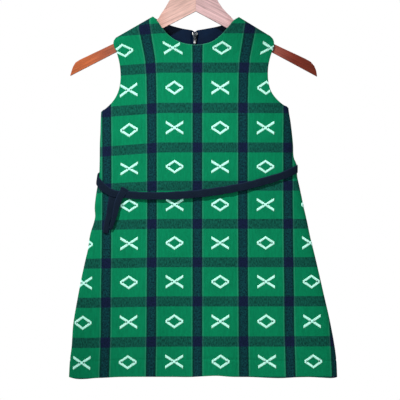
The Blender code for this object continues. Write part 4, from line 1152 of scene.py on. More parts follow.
# place on the front view, how far the strap's underside stands off the cloth, and its width
BELT_FRONT = [(174.4, -393.6, 1.2, 13.0), (152.0, -404.4, 1.2, 13.0), (121.9, -413.6, 1.5, 13.0),
    (88.8, -422.7, 2.0, 13.0), (47.0, -431.0, 2.4, 13.0), (12.2, -435.9, 2.5, 13.0),
    (-27.9, -439.4, 2.5, 13.0), (-82.0, -440.3, 2.4, 13.0), (-108.6, -439.2, 2.2, 13.0),
    (-128.0, -437.6, 1.5, 13.0)]
BELT_SIDE = [(-128.9, -437.9, 1.4, 12.0), (-142.1, -436.2, 1.8, 12.6), (-158.1, -427.0, 1.8, 13.0),
    (-171.0, -412.0, 1.1, 13.0)]
BELT_BACK = [(-171.0, -412.0, 1.1, 13.0), (-155.0, -400.0, 1.0, 13.0), (-120.0, -391.5, 0.8, 13.0),
    (-60.0, -385.5, 0.8, 13.0), (0.0, -383.5, 0.8, 13.0), (60.0, -384.0, 0.8, 13.0),
    (120.0, -386.5, 0.7, 13.0), (155.0, -389.8, 1.0, 13.0), (174.4, -393.6, 1.2, 13.0)]
BELT_KNOT = [(-117.6, -434.6, 0.9, 5.0), (-120.6, -432.4, 1.3, 7.2), (-125.6, -429.6, 1.5, 7.6),
    (-130.4, -427.4, 1.1, 6.0)]
TAIL_FRONT = [(-125.2, -431.2, 2.2, 11.6), (-127.4, -435.4, 3.3, 12.2), (-130.6, -440.8, 3.6, 11.6),
    (-133.8, -448.0, 3.5, 11.0), (-136.8, -456.5, 3.4, 10.2), (-138.6, -465.5, 3.3, 9.6),
    (-140.5, -474.0, 3.2, 8.6), (-142.9, -482.5, 3.1, 7.2), (-145.6, -491.2, 3.0, 6.8),
    (-148.2, -498.0, 3.0, 6.0)]
TAIL_REAR = [(-144.6, -438.9, 0.3, 13.0), (-145.6, -447.6, 0.3, 13.0), (-147.8, -459.8, 0.3, 12.6),
    (-149.4, -468.5, 0.3, 11.8), (-151.4, -477.2, 0.4, 10.0), (-154.2, -485.9, 0.5, 8.8),
    (-155.3, -492.9, 0.5, 9.6), (-156.3, -499.8, 0.4, 9.6), (-157.2, -505.6, 0.3, 8.8)]

# %% [markdown]
# ## The dress unrolled
# A strap bends over a surface easily, and sideways within it hardly at all. Its route is therefore drawn
# as on paper: the dress is unrolled to a flat sheet, whose two measures are the length round the dress
# and the height. A table then turns each place on the sheet back to a point of the cloth.

# %% The dress unrolled
def ring(z):
    """A fine ring of the dress's outside at one height: front middle first, then to the right."""
    angle = np.linspace(0.0, 2 * pi, SECTION_STEPS, endpoint=False)
    across = np.sign(np.sin(angle)) * np.abs(np.sin(angle)) ** (2 / LOFT)
    middle, half = section_shares(z)
    x = middle + half * across
    forward = np.cos(angle) >= 0.0
    y = np.where(forward, -stand_out(x, z, "front"), stand_out(x, z, "back"))
    return np.column_stack([x, y])


def ring_lengths(z):
    """The ring and the length round it at each of its points, 0 at the front middle."""
    points = ring(z)
    closed = np.vstack([points, points[:1]])
    length = np.r_[0.0, np.cumsum(np.linalg.norm(np.diff(closed, axis=0), axis=1))]
    return closed, length


def way_to(x, z, face):
    """The signed length round the dress to a place on its front or its back."""
    closed, length = ring_lengths(z)
    quarter = SECTION_STEPS // 4
    if face == "front":
        xs = np.r_[closed[3 * quarter : -1, 0], closed[: quarter + 1, 0]]
        ways = np.r_[length[3 * quarter : -1] - length[-1], length[: quarter + 1]]
    else:
        xs = closed[quarter : 3 * quarter + 1, 0][::-1]
        ways = length[quarter : 3 * quarter + 1][::-1]
    return float(np.interp(x, xs, ways))


# the heights, and the lengths round the dress, that the belt's routes stay within
UNROLLED_Z = np.arange(-526.0, -372.0, 1.0)
UNROLLED_WAY = np.arange(-430.0, 660.0, 1.0)
unrolled = np.empty((len(UNROLLED_Z), len(UNROLLED_WAY), 3))
for k, level in enumerate(UNROLLED_Z):
    closed, length = ring_lengths(level)
    at = UNROLLED_WAY % length[-1]
    unrolled[k, :, 0] = np.interp(at, length, closed[:, 0])
    unrolled[k, :, 1] = np.interp(at, length, closed[:, 1])
    unrolled[k, :, 2] = level


def on_cloth(way, z):
    """Points of the dress's outside, given by their length round it and their height."""
    c, r = way - UNROLLED_WAY[0], z - UNROLLED_Z[0]
    c0, r0 = np.floor(c).astype(int), np.floor(r).astype(int)
    fc, fr = (c - c0)[..., None], (r - r0)[..., None]
    low = unrolled[r0, c0] * (1 - fc) + unrolled[r0, c0 + 1] * fc
    high = unrolled[r0 + 1, c0] * (1 - fc) + unrolled[r0 + 1, c0 + 1] * fc
    return low * (1 - fr) + high * fr


def outward_on(way, z):
    """The cloth's outward normal at each place."""
    along = on_cloth(way + 1.0, z) - on_cloth(way - 1.0, z)
    up = on_cloth(way, z + 1.0) - on_cloth(way, z - 1.0)
    normal = np.cross(along, up)
    return normal / np.linalg.norm(normal, axis=-1, keepdims=True)


print("unrolled dress", unrolled.shape[:2])

# %% Section of a strap
# how far under its outer skin the strap's inner one lies, and how many points go round it
STRAP_WALL, STRAP_POINTS = 0.7, 28


def strap_section(count):
    """A flat oval: shares of the width from its middle, and of the thickness from its underside."""
    turn = np.linspace(0.0, 2 * pi, count, endpoint=False)
    across, up = np.cos(turn), np.sin(turn)
    return np.column_stack([0.5 * np.sign(across) * np.abs(across) ** 0.55,
                            0.5 + 0.5 * np.sign(up) * np.abs(up) ** 0.8])


def closed_rings(stations, corners, first):
    """Faces of a tube of rings of points, numbered from first, with both its ends capped."""
    index = first + np.arange(stations * corners).reshape(stations, corners)
    after = np.roll(index, -1, axis=1)
    quads = np.stack([index[:-1], after[:-1], after[1:], index[1:]], axis=-1).reshape(-1, 4)
    return quads.tolist() + [index[0][::-1].tolist(), index[-1].tolist()]


STRAP_SECTION = strap_section(STRAP_POINTS)
print("strap section", STRAP_SECTION.shape)

# %% A strap laid on the cloth
# a free end closes over this last length, and the tube is hollow where it is this much over two walls
END_RUN, HOLLOW_LEAST = 2.2, 0.3
# the shortest and the longest slow wave, and how much they stir the width, the thickness and the lift
STIR_LENGTHS, STIR_WIDTH, STIR_THICK, STIR_LIFT = (18.0, 90.0), 0.4, 0.5, 2.0


def strap(name, route, face, thick, stations, material, upright, free_end, unrest, seed):
    """A pressed tube along a route on the unrolled cloth: an outer skin, and a slit left inside it."""
    path = np.array([(way_to(x, z, face), z, lift, width) for x, z, lift, width in route])
    even = np.linspace(-1.0, 1.0, stations)
    shares = 0.5 + 0.5 * (0.35 * even + 0.65 * np.sin(even * pi / 2))
    line = smooth_line(path, shares)
    flow = np.gradient(line[:, :2], axis=0)
    flow /= np.linalg.norm(flow, axis=1, keepdims=True)
    side = np.column_stack([-flow[:, 1], flow[:, 0]])
    if upright:
        side = np.column_stack([np.zeros(stations), 1.0 / side[:, 1]])
    length = np.r_[0.0, np.cumsum(np.linalg.norm(np.diff(line[:, :2], axis=0), axis=1))]
    lift, widths, thicks = line[:, 2].copy(), line[:, 3].copy(), np.full(stations, thick)
    # five slow waves of uneven length, calm at both ends, keep it from looking machined
    rng = np.random.default_rng(seed)
    calm = np.sin(pi * np.clip(length / length[-1], 0.0, 1.0)) ** 0.5
    for _ in range(5):
        wave = calm * np.sin(2 * pi * length / rng.uniform(*STIR_LENGTHS) + rng.uniform(0, 2 * pi))
        widths *= 1.0 + STIR_WIDTH * unrest * wave
        thicks *= 1.0 + STIR_THICK * unrest * wave
        lift += unrest * STIR_LIFT * (1.0 + wave) * calm
    if free_end:
        near = 1.0 - np.clip((length[-1] - length) / END_RUN, 0.0, 1.0)
        closing = 0.3 + 0.7 * np.sqrt(1.0 - near**2)
        widths *= 0.75 + 0.25 * closing
        lift += 0.5 * thicks * (1.0 - closing)
        thicks *= closing
    share, rise = STRAP_SECTION.T

    def skin(inset):
        """Rings of points on the tube's outside, or as deep inside it as inset."""
        across = share * (widths - 2 * inset)[:, None]
        way, height = line[:, :1] + side[:, :1] * across, line[:, 1:2] + side[:, 1:2] * across
        lifted = (lift + inset)[:, None] + rise * (thicks - 2 * inset)[:, None]
        return on_cloth(way, height) + lifted[..., None] * outward_on(way, height)

    open_rows = np.where(thicks > 2 * STRAP_WALL + HOLLOW_LEAST)[0][1:-1]
    grid = np.concatenate([skin(0.0), skin(STRAP_WALL)[open_rows]]).reshape(-1, 3)
    run = np.concatenate([length, length[open_rows]])
    places = np.stack(np.broadcast_arrays(run[:, None], share), axis=-1).reshape(-1, 2)
    corners = len(STRAP_SECTION)
    faces = closed_rings(stations, corners, 0)
    faces += [face[::-1] for face in closed_rings(len(open_rows), corners, stations * corners)]
    mesh = mapped_mesh(name, grid, faces, "strap", places)
    mesh.materials.append(material)
    mesh.set_sharp_from_angle(angle=radians(60))
    return put_in_scene(name, mesh), float(length[-1]) * MM


# %% [markdown]
# ## Navy belt wool
# The belt is wool flannel: matt and soft, with a fine grain along it. A paler band along both edges is a
# painted highlight, where the rounded edges catch light. The grain and the highlight have to turn with
# the belt, so the strap carries its own UV map, with its length one way and its width the other, and
# the pattern is drawn on that.

# %% Belt material
belt_wool, tree, shader = new_material("navy_belt_wool", {
    "Roughness": 0.85, "Sheen Weight": 0.06, "Sheen Roughness": 0.5, "Sheen Tint": paint("#8FA8C8"),
    "Specular IOR Level": 0.12})
along = add_node(tree, "ShaderNodeUVMap", uv_map="strap")
parts = add_node(tree, "ShaderNodeSeparateXYZ", {0: along})
flat = add_node(tree, "ShaderNodeMapping", {"Vector": along, "Scale": (0.3, 6.0, 1.0)})
grain = add_node(tree, "ShaderNodeTexNoise", {"Vector": flat, "Scale": 1.0, "Detail": 3.0, "Roughness": 0.7})
tone = add_node(tree, "ShaderNodeMix", {
    0: grain, 6: paint("#050E1A"), 7: paint("#0F2034")}, data_type="RGBA")
# a painted highlight pales both edges of the strap
far = add_node(tree, "ShaderNodeMath", {0: parts.outputs["Y"]}, operation="ABSOLUTE")
painted_edge_highlight = add_node(tree, "ShaderNodeMapRange", {
    "Value": far, "From Min": 0.34, "From Max": 0.47, "To Max": 0.45})
painted_highlight = add_node(tree, "ShaderNodeMix", {
    0: painted_edge_highlight, 6: tone.outputs[2], 7: paint("#1C2D49")}, data_type="RGBA")
tree.links.new(painted_highlight.outputs[2], shader.inputs["Base Color"])
bump = add_node(tree, "ShaderNodeBump", {"Height": grain, "Strength": 0.5, "Distance": 0.0004})
tree.links.new(bump.outputs[0], shader.inputs["Normal"])
print("belt wool:", len(tree.nodes), "nodes")

# %% Lay the belt
KNOT_THICK = 2.9
belt, belt_long = {}, {}
# the solid it stands for, the strap's name, its route and side, thickness, rings, how it lies, and its
# unrest and seed
for node, name, route, face, thick, rings, lie, unrest, seed in (
        ("belt_front", "belt_front_strap", BELT_FRONT, "front", BELT_THICK, 170, "upright", 0.05, 3),
        ("belt_side", "belt_side_strap", BELT_SIDE, "front", BELT_THICK, 50, "upright", 0.03, 4),
        ("belt_back", "belt_back_strap", BELT_BACK, "back", BELT_THICK, 170, "upright", 0.05, 5),
        ("belt_knot", "belt_knot_fold", BELT_KNOT, "front", KNOT_THICK, 24, "over", 0.0, 6),
        ("belt_tail_front", "belt_end_over", TAIL_FRONT, "front", TAIL_THICK, 80, "hanging", 0.04, 7),
        ("belt_tail_rear", "belt_end_under", TAIL_REAR, "front", TAIL_THICK, 80, "hanging", 0.04, 8)):
    belt[node], belt_long[node] = strap(name, route, face, thick, rings, belt_wool, lie == "upright",
                                        lie == "hanging", unrest, seed)
    work = bmesh.new()
    work.from_mesh(belt[node].data)
    skin_area = sum(face.calc_area() for face in work.faces) / 2
    print(node, round(belt_long[node] * 1000, 1), "mm long,", round(skin_area * 1e6), "square mm,",
          round(work.calc_volume(signed=True) * 1e9), "cubic mm")
    work.free()

# %% [markdown]
# ## The zip
# A nickel-plated zip closes the back. From the front only its head shows through the neck: the slider's
# body, the bail over it and the drop-shaped pull that hangs inside. Below it runs the chain of teeth.
# The slider and its pull are die-cast zinc, plated, in an uneven dull grey. Painted highlights, near
# white, lie on the slider's two shoulders and the drop's end, picked out by where they lie from the
# pull's axis.

# %% Zip metal
PULL_AXIS = (BACK_CENTRE, -161.5)
zip_metal, tree, shader = new_material("nickel_plated_zip", {"Roughness": 0.3, "Metallic": 1.0})
coords = add_node(tree, "ShaderNodeTexCoord")
apart = add_node(tree, "ShaderNodeSeparateXYZ", {0: coords.outputs["Object"]})
off_centre = add_node(tree, "ShaderNodeMath", {
    0: apart.outputs["X"], 1: PULL_AXIS[0] * MM}, operation="SUBTRACT")
off_centre = add_node(tree, "ShaderNodeMath", {0: off_centre}, operation="ABSOLUTE")
# the painted highlights: what is measured, and the millimetres at which the brightness is 0 and 1
bright = {}
for label, value, low, high, easing in (
        ("far out", off_centre, 2.4, 3.4, "SMOOTHSTEP"),
        ("high up", apart.outputs["Z"], PULL_AXIS[1] + 1.0, PULL_AXIS[1] + 2.4, "LINEAR"),
        ("drop's end", apart.outputs["Z"], PULL_AXIS[1] - 7.6, PULL_AXIS[1] - 9.4, "SMOOTHSTEP")):
    bright[label] = add_node(tree, "ShaderNodeMapRange", {
        "Value": value, "From Min": low * MM, "From Max": high * MM}, interpolation_type=easing)
shoulders = add_node(tree, "ShaderNodeMath", {
    0: bright["far out"], 1: bright["high up"]}, operation="MULTIPLY")
painted_highlight = add_node(tree, "ShaderNodeMath", {0: shoulders, 1: bright["drop's end"]}, operation="MAXIMUM")
wear = add_node(tree, "ShaderNodeTexNoise", {
    "Vector": coords.outputs["Object"], "Scale": 600.0, "Detail": 3.0})
dull = add_node(tree, "ShaderNodeMix", {0: wear, 6: paint("#3E454B"), 7: paint("#737A7E")}, data_type="RGBA")
# the uneven dull grey, turned near white where the highlights are painted
tone = add_node(tree, "ShaderNodeMix", {
    0: painted_highlight, 6: dull.outputs[2], 7: paint("#F2F4F2")}, data_type="RGBA")
tree.links.new(tone.outputs[2], shader.inputs["Base Color"])
gloss = add_node(tree, "ShaderNodeMapRange", {"Value": wear, "To Min": 0.25, "To Max": 0.45})
tree.links.new(gloss.outputs[0], shader.inputs["Roughness"])
print("zip metal:", len(tree.nodes), "nodes")

# %% [markdown]
# ## Slider, bail and pull
# A slider is two plates joined by a wedge-shaped core, which parts the teeth, with a loop of wire over
# it, the bail, for the pull to hang on. Plates, core and pull are flat shapes: an outline is filled as a
# flat curve, made as thick as it should be, and its edges are rounded by a bevel. The bail is a curve
# with a round bevel.

# %% Sizes of the slider and its pull
SLIDER_THICK, BAIL_RADIUS, BAIL_WIRE, PULL_STANDOFF, PULL_THICK = 3.2, 1.7, 0.55, 0.9, 0.9
SLIDER_OUTLINE = [(-4.7, 5.6), (-4.9, 3.4), (-3.6, 0.4), (-2.7, -2.6), (-2.6, -4.4), (2.6, -4.4), (2.7, -2.6),
                  (3.6, 0.4), (4.9, 3.4), (4.7, 5.6), (2.6, 6.0), (1.2, 4.6), (-1.2, 4.6), (-2.6, 6.0)]
CORE_OUTLINE = [(-1.3, 4.6), (-1.5, 2.2), (-0.3, -0.6), (0.3, -0.6), (1.5, 2.2), (1.3, 4.6)]
PULL_OUTLINE = [(-2.1, 0.45), (-2.1, -3.2), (-1.2, -4.6), (-1.0, -7.6), (-1.9, -9.6), (-2.2, -11.8),
                (-1.5, -13.6), (0.0, -14.1), (1.5, -13.6), (2.2, -11.8), (1.9, -9.6), (1.0, -7.6),
                (1.2, -4.6), (2.1, -3.2), (2.1, 0.45)]
PULL_EYE = [(-1.25, -0.45), (-1.25, -2.8), (1.25, -2.8), (1.25, -0.45)]
axis_x, axis_z = np.array(PULL_AXIS[0]), np.array(PULL_AXIS[1])
inside = float(stand_out(axis_x, axis_z, "back") - creases(axis_x, axis_z, "back"))
AXIS_Y = inside - CLOTH - GAP - LINING - GAP - SLIDER_THICK - PULL_STANDOFF
print("pull's axis at y", round(AXIS_Y, 3), "mm")


# %% Shapes from outlines and from wire
def welded(mesh):
    """Weld a mesh's doubled points, and turn its faces outward."""
    work = bmesh.new()
    work.from_mesh(mesh)
    bmesh.ops.remove_doubles(work, verts=work.verts, dist=0.000005)
    bmesh.ops.recalc_face_normals(work, faces=work.faces)
    work.to_mesh(mesh)
    work.free()
    return mesh


def mesh_of_curve(curve, turn=None):
    """The welded mesh of a curve, turned into place. The curve is removed."""
    guide = put_in_scene("curve_guide", curve)
    bpy.context.view_layer.update()
    mesh = bpy.data.meshes.new_from_object(guide.evaluated_get(bpy.context.evaluated_depsgraph_get()))
    if turn is not None:
        mesh.transform(turn)
    bpy.data.objects.remove(guide)
    bpy.data.curves.remove(curve)
    return welded(mesh)


def flat_shape(outlines, thickness, rounding, centre, y):
    """A flat shape from outlines on the front view, as thick as given, with rounded edges."""
    curve = bpy.data.curves.new("outline", "CURVE")
    curve.dimensions = "2D"
    curve.fill_mode = "BOTH"
    curve.extrude = thickness / 2 * MM
    for outline in outlines:
        spline = curve.splines.new("POLY")
        spline.points.add(len(outline) - 1)
        for point, (x, z) in zip(spline.points, outline):
            point.co = ((centre[0] + x) * MM, (centre[1] + z) * MM, 0.0, 1.0)
        spline.use_cyclic_u = True
    turn = Matrix.Translation((0, y * MM, 0)) @ Matrix.Rotation(radians(90), 4, "X")
    mesh = mesh_of_curve(curve, turn)
    work = bmesh.new()
    work.from_mesh(mesh)
    sharp = [edge for edge in work.edges if edge.calc_face_angle(0.0) > radians(35)]
    bmesh.ops.bevel(work, geom=sharp, offset=rounding * MM, segments=3, profile=0.5, affect="EDGES",
                    clamp_overlap=True)
    work.to_mesh(mesh)
    work.free()
    return mesh


def wire(route, radius, fineness=5):
    """The mesh of a round wire along points in space, in millimetres."""
    curve = bpy.data.curves.new("wire", "CURVE")
    curve.dimensions = "3D"
    curve.bevel_depth = radius * MM
    curve.bevel_resolution = fineness
    curve.use_fill_caps = True
    spline = curve.splines.new("POLY")
    spline.points.add(len(route) - 1)
    for point, place in zip(spline.points, route):
        point.co = (place[0] * MM, place[1] * MM, place[2] * MM, 1.0)
    return mesh_of_curve(curve)


def joined(name, meshes, material):
    """One object from several meshes that touch."""
    work = bmesh.new()
    for mesh in meshes:
        work.from_mesh(mesh)
        bpy.data.meshes.remove(mesh)
    mesh = bpy.data.meshes.new(name)
    work.to_mesh(mesh)
    work.free()
    mesh.materials.append(material)
    mesh.shade_smooth()
    mesh.set_sharp_from_angle(angle=radians(35))
    return put_in_scene(name, mesh)


# %% Build the slider and the pull
# how much the edges of plates, core and pull are rounded
PLATE_ROUND, CORE_ROUND, PULL_ROUND = 0.3, 0.1, 0.25
plate = SLIDER_THICK * 0.3
plates = [flat_shape([SLIDER_OUTLINE], plate, PLATE_ROUND, PULL_AXIS, AXIS_Y + PULL_STANDOFF + offset)
          for offset in (plate / 2, SLIDER_THICK - plate / 2)]
core = flat_shape([CORE_OUTLINE], SLIDER_THICK - plate, CORE_ROUND, PULL_AXIS,
                  AXIS_Y + PULL_STANDOFF + SLIDER_THICK / 2)
# the bail is half a ring whose two ends run into the plate
sink = PULL_STANDOFF + 0.8
turns = [(BAIL_RADIUS * cos(radians(a)), BAIL_RADIUS * sin(radians(a))) for a in range(90, 271, 10)]
bail_route = [(PULL_AXIS[0], AXIS_Y + forward, PULL_AXIS[1] + up)
              for forward, up in [(sink, BAIL_RADIUS)] + turns + [(sink, -BAIL_RADIUS)]]
slider = joined("zip_slider_head", plates + [core, wire(bail_route, BAIL_WIRE)], zip_metal)
pull = joined("zip_pull_drop", [flat_shape([PULL_OUTLINE, PULL_EYE], PULL_THICK, PULL_ROUND, PULL_AXIS,
                                           AXIS_Y)], zip_metal)
print("slider", len(slider.data.polygons), "faces, pull", len(pull.data.polygons), "faces")

# %% [markdown]
# ## The zip's teeth
# Metal teeth are clamped on the edge of each tape and reach past the middle by turns, where each nose
# fits between two teeth of the other side. One tooth is drawn, and a geometry tree sets it along the
# chain: the chain's middle becomes a curve with a point at every half pitch, and every second tooth is
# turned half round, to come from the other tape. They are brass with a bright nickel plating, its tone
# varying at random, with no painted highlights like the slider's.

# %% One tooth of the zip
TOOTH_PITCH, TOOTH_REACH, TOOTH_ROOT = 1.3, 0.75, 2.2
# the share of its pitch that a tooth takes up
TOOTH_SHARE = 0.42


def tooth_mesh():
    """A metal tooth: reaching across the middle, deepest at its root, with a blunt nose. In metres."""
    outline = [(TOOTH_ROOT, 0.8), (0.9, 0.8), (0.2, 0.62), (-0.4, 0.62), (-TOOTH_REACH, 0.3),
               (-TOOTH_REACH, -0.3), (-0.4, -0.62), (0.2, -0.62), (0.9, -0.8), (TOOTH_ROOT, -0.8)]
    high = TOOTH_SHARE * TOOTH_PITCH / 2
    vertices = [(x * MM, y * MM, z * MM) for z in (-high, high) for x, y in outline]
    count = len(outline)
    faces = [tuple(range(count)), tuple(range(count, 2 * count))[::-1]]
    faces += [(k, k + count, (k + 1) % count + count, (k + 1) % count) for k in range(count)]
    mesh = bpy.data.meshes.new("tooth")
    mesh.from_pydata(vertices, [], faces)
    return welded(mesh)


tooth = put_in_scene("tooth", tooth_mesh())
TOOTH_FACES = len(tooth.data.polygons)
tooth_metal = mottled("nickel_plated_teeth", {"Roughness": 0.35, "Metallic": 1.0}, 900.0, "#767C7F",
                      "#B9BDBC")[0]
print("a tooth has", TOOTH_FACES, "faces")

# %% Geometry tree that sets teeth along a chain
chain, given = new_tree("set_teeth_along_chain", {
    "Middle": "Geometry", "Half pitch": "Float", "Tooth": "Object", "Metal": "Material"}, "Teeth")
tooth_info = add_node(chain, "GeometryNodeObjectInfo", {"Object": given.outputs["Tooth"]})
path = add_node(chain, "GeometryNodeMeshToCurve", {0: given.outputs["Middle"]})
spots = add_node(chain, "GeometryNodeCurveToPoints", {
    0: path, "Length": given.outputs["Half pitch"]}, mode="LENGTH")
inward = add_node(chain, "ShaderNodeCombineXYZ", {"Y": -1.0})
stand = add_node(chain, "FunctionNodeAxesToRotation", {
    "Primary Axis": spots.outputs["Tangent"], "Secondary Axis": inward}, primary_axis="Z",
    secondary_axis="Y")
number = add_node(chain, "GeometryNodeInputIndex")
odd = add_node(chain, "ShaderNodeMath", {0: number, 1: 2.0}, operation="MODULO")
half_turn = add_node(chain, "ShaderNodeMath", {0: odd, 1: pi}, operation="MULTIPLY")
about = add_node(chain, "ShaderNodeCombineXYZ", {"Y": half_turn})
turned_tooth = add_node(chain, "FunctionNodeRotateRotation", {0: stand, 1: about}, rotation_space="LOCAL")
set_teeth = add_node(chain, "GeometryNodeInstanceOnPoints", {
    "Points": spots.outputs["Points"], "Instance": tooth_info.outputs["Geometry"], "Rotation": turned_tooth})
solid = add_node(chain, "GeometryNodeRealizeInstances", {0: set_teeth})
plated = add_node(chain, "GeometryNodeSetMaterial", {0: solid, "Material": given.outputs["Metal"]})
add_node(chain, "NodeGroupOutput", {0: plated})
print("tree that sets teeth:", len(chain.nodes), "nodes")

# %% Set the teeth below the slider
# where the chain starts below the pull's axis, where it stops above the zip's foot, and its points' step
CHAIN_START, CHAIN_STOP, CHAIN_STEP = 5.4, 4.0, 4.0
# how far the teeth's middle stands off the tape
CHAIN_OFF = 1.0
chain_heights = np.arange(PULL_AXIS[1] - CHAIN_START, ZIP_TOP - ZIP_LENGTH + CHAIN_STOP, -CHAIN_STEP)
centre_back = np.full(len(chain_heights), BACK_CENTRE)
inner_face = stand_out(centre_back, chain_heights, "back") - CLOTH - GAP - TAPE
chain_points = np.column_stack([centre_back, inner_face - CHAIN_OFF, chain_heights]) * MM
middle_line = bpy.data.meshes.new("chain_middle")
middle_line.from_pydata(chain_points.tolist(), [(k, k + 1) for k in range(len(chain_points) - 1)], [])
teeth = grown("zip_teeth", middle_line, chain, {"Half pitch": TOOTH_PITCH / 2 * MM, "Tooth": tooth,
                                                "Metal": tooth_metal})
bpy.data.objects.remove(tooth)
print("teeth", len(teeth.data.polygons) // TOOTH_FACES)

# %% [markdown]
# ## The hanger
# Two flat boards of wood meet in a mitre at the middle. The arms are stained, orange-brown on one and
# dark red-brown on the other, so each arm's colour changes along it. The pale, pinkish middle and the
# darkness of the right arm are partly stain and partly painted light: a pool of light on the middle,
# and shade toward the right arm's end. The grain follows each arm. Such boards get only a thin, matt
# varnish, so they hardly shine. An image of wood would fit no other board, so a noise is stretched along
# the arm for its grain, and a ramp by the length from the middle gives the stain with its painted light.
# The rounded edges are darkened as painted shade. The boards and the hook are the CAD's own solids,
# which already have their full shape.

# %% Wood material
# the ramp of stain and painted light runs over this many millimetres from the middle
ARM_REACH = 220.0


def stained_wood(name, lean, tones, edge):
    """Planed and stained wood. lean is the arm's slope, tones are (millimetres from the middle, colour)
    of the stain with its painted light, and edge is the colour of the painted shade on the edges.
    """
    material, tree, shader = new_material(name, {
        "Roughness": 0.6, "Coat Weight": 0.03, "Coat Roughness": 0.5, "Specular IOR Level": 0.25})
    coords = add_node(tree, "ShaderNodeTexCoord")
    apart = add_node(tree, "ShaderNodeSeparateXYZ", {0: coords.outputs["Object"]})
    far = add_node(tree, "ShaderNodeMath", {0: apart.outputs["X"]}, operation="ABSOLUTE")
    share = add_node(tree, "ShaderNodeMapRange", {"Value": far, "From Max": ARM_REACH * MM})
    stain_and_painted_light = add_node(tree, "ShaderNodeValToRGB", {0: share})
    stops = stain_and_painted_light.color_ramp.elements
    while len(stops) > 1:
        stops.remove(stops[-1])
    stops[0].position = tones[0][0] / ARM_REACH
    stops[0].color = paint(tones[0][1])
    for millimetres, colour in tones[1:]:
        stops.new(millimetres / ARM_REACH).color = paint(colour)
    laid = add_node(tree, "ShaderNodeMapping", {
        "Vector": coords.outputs["Object"], "Rotation": (0, lean, 0)})
    # growth lines 2.4 mm apart up the board and 60 mm long, then a broader figure below them: waves a
    # metre, detail, roughness and distortion, the noise's range, and the shares of the stain it gives
    noise, depth = {}, {}
    for label, waves, detail, rough, twist, low, high, dark, light in (
            ("grain", (16.0, 300.0, 420.0), 5.0, 0.65, 0.9, 0.33, 0.62, 0.70, 1.10),
            ("figure", (12.0, 60.0, 95.0), 2.0, 0.5, 1.2, 0.3, 0.7, 0.86, 1.12)):
        scaled = add_node(tree, "ShaderNodeMapping", {"Vector": laid, "Scale": waves})
        noise[label] = add_node(tree, "ShaderNodeTexNoise", {
            "Vector": scaled, "Scale": 1.0, "Detail": detail, "Roughness": rough, "Distortion": twist})
        depth[label] = add_node(tree, "ShaderNodeMapRange", {
            "Value": noise[label], "From Min": low, "From Max": high, "To Min": dark, "To Max": light})
    depth = add_node(tree, "ShaderNodeMath", {0: depth["grain"], 1: depth["figure"]}, operation="MULTIPLY")
    planed = add_node(tree, "ShaderNodeVectorMath", {0: stain_and_painted_light, "Scale": depth}, operation="SCALE")
    # painted shade darkens the rounded edges, the lower one most
    facing = add_node(tree, "ShaderNodeSeparateXYZ", {0: coords.outputs["Normal"]})
    under = add_node(tree, "ShaderNodeMapRange", {
        "Value": facing.outputs["Z"], "From Min": -0.02, "From Max": -0.4, "To Max": 0.95})
    over = add_node(tree, "ShaderNodeMapRange", {
        "Value": facing.outputs["Z"], "From Min": 0.2, "From Max": 0.8, "To Max": 0.35})
    painted_edge_shade = add_node(tree, "ShaderNodeMath", {0: under, 1: over}, operation="MAXIMUM")
    tone = add_node(tree, "ShaderNodeMix", {0: painted_edge_shade, 6: planed, 7: paint(edge)}, data_type="RGBA")
    tree.links.new(tone.outputs[2], shader.inputs["Base Color"])
    bump = add_node(tree, "ShaderNodeBump", {"Height": noise["grain"], "Strength": 0.25, "Distance": 0.0003})
    tree.links.new(bump.outputs[0], shader.inputs["Normal"])
    return material


# each ramp: a pale middle that is partly painted light, then the stain; the last colour is painted edge shade
left_wood = stained_wood("beech_stained_orange", radians(26.7), [(45, "#F8CCC0"), (62, "#ECB9AB"),
                         (125, "#AB6550"), (160, "#B96243"), (190, "#CB6A3C")], "#46170E")
right_wood = stained_wood("beech_stained_red_brown", radians(-26.7), [(50, "#F7CDCD"), (65, "#EBB9B8"),
                          (120, "#B46557"), (146, "#AB584A"), (170, "#913726"), (205, "#82331F")], "#35100A")
print("woods", left_wood.name, right_wood.name)

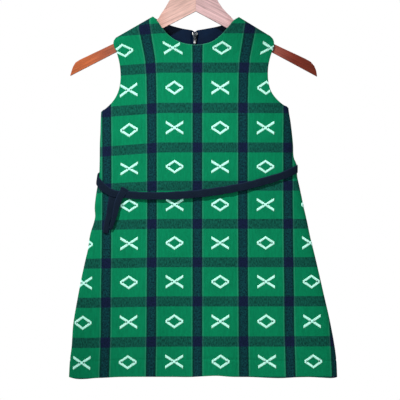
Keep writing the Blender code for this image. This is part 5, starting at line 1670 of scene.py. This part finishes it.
# %% Hook metal, and the hanger's finishes
# chrome-plated steel wire, polished
chrome, tree, shader = new_material("chrome_plated_wire", {
    "Roughness": 0.12, "Metallic": 1.0, "Base Color": paint("#D9DCDD")})
coords = add_node(tree, "ShaderNodeTexCoord")
marks = add_node(tree, "ShaderNodeTexNoise", {
    "Vector": coords.outputs["Object"], "Scale": 250.0, "Detail": 3.0})
gloss = add_node(tree, "ShaderNodeMapRange", {"Value": marks, "To Min": 0.08, "To Max": 0.24})
tree.links.new(gloss.outputs[0], shader.inputs["Roughness"])
for node, material in (("hanger_arm_left", left_wood), ("hanger_arm_right", right_wood),
                       ("hanger_hook", chrome)):
    nodes[node].material_slots[0].material = material
    print(node, [round(v, 4) for v in nodes[node].location], len(nodes[node].data.polygons))

# %% [markdown]
# ## The mitre's glue line
# The two boards are glued. A hair of pale glue and wood dust fills the joint, a little below the
# surface. A thin block between the boards is all that it needs.

# %% Glue line of the mitre
# its middle and its size in millimetres
GLUE_X, GLUE_Z = -0.3, -97.2
GLUE_WIDE, GLUE_DEEP, GLUE_HIGH = 0.32, 11.4, 42.5
glue_mesh = bpy.data.meshes.new("mitre_glue_line")
work = bmesh.new()
bmesh.ops.create_cube(work, size=1.0)
work.to_mesh(glue_mesh)
work.free()
glue_mesh.transform(Matrix.Translation((GLUE_X * MM, 0, GLUE_Z * MM))
                    @ Matrix.Diagonal((GLUE_WIDE * MM, GLUE_DEEP * MM, GLUE_HIGH * MM, 1.0)))
glue_mesh.materials.append(mottled("dried_wood_glue", {"Roughness": 0.6}, 400.0, "#B98A7C", "#E6C3B4")[0])
glue_line = put_in_scene("mitre_glue_line", glue_mesh)
print("glue line", [round(v * 1000, 1) for v in glue_line.dimensions], "mm")

# %% [markdown]
# ## Hand the pieces to the frame
# Each piece rides on its body and stands for its solid, which is hidden.

# %% Rides and stand-ins
def hand_over(piece, body, slot_name, *stands_for):
    """Ride a body and stand for CAD nodes. slot_name, the finish's name, is not used."""
    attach(piece, body)
    if stands_for:
        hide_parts(*stands_for)


hand_over(front, ROOT, "wool_check", "dress_front")
for side_name in ("left", "right"):
    hand_over(backs[side_name], ROOT, "wool_check", "dress_back_" + side_name)
    hand_over(linings[side_name], ROOT, "navy_lining", "neck_lining_" + side_name)
    hand_over(tapes[side_name], ROOT, "navy_lining", "zip_tape_" + side_name)
for made in list(motif_pieces.values()) + list(stitch_pieces.values()):
    hand_over(made, ROOT, "wool_check")
for node, made in belt.items():
    hand_over(made, ROOT, "belt_wool", node)
hand_over(slider, ROOT, "zip_metal", "zip_slider")
hand_over(teeth, ROOT, "zip_metal")
hand_over(glue_line, ROOT, "wood_left")
hand_over(pull, TAB, "zip_metal", "zip_pull")
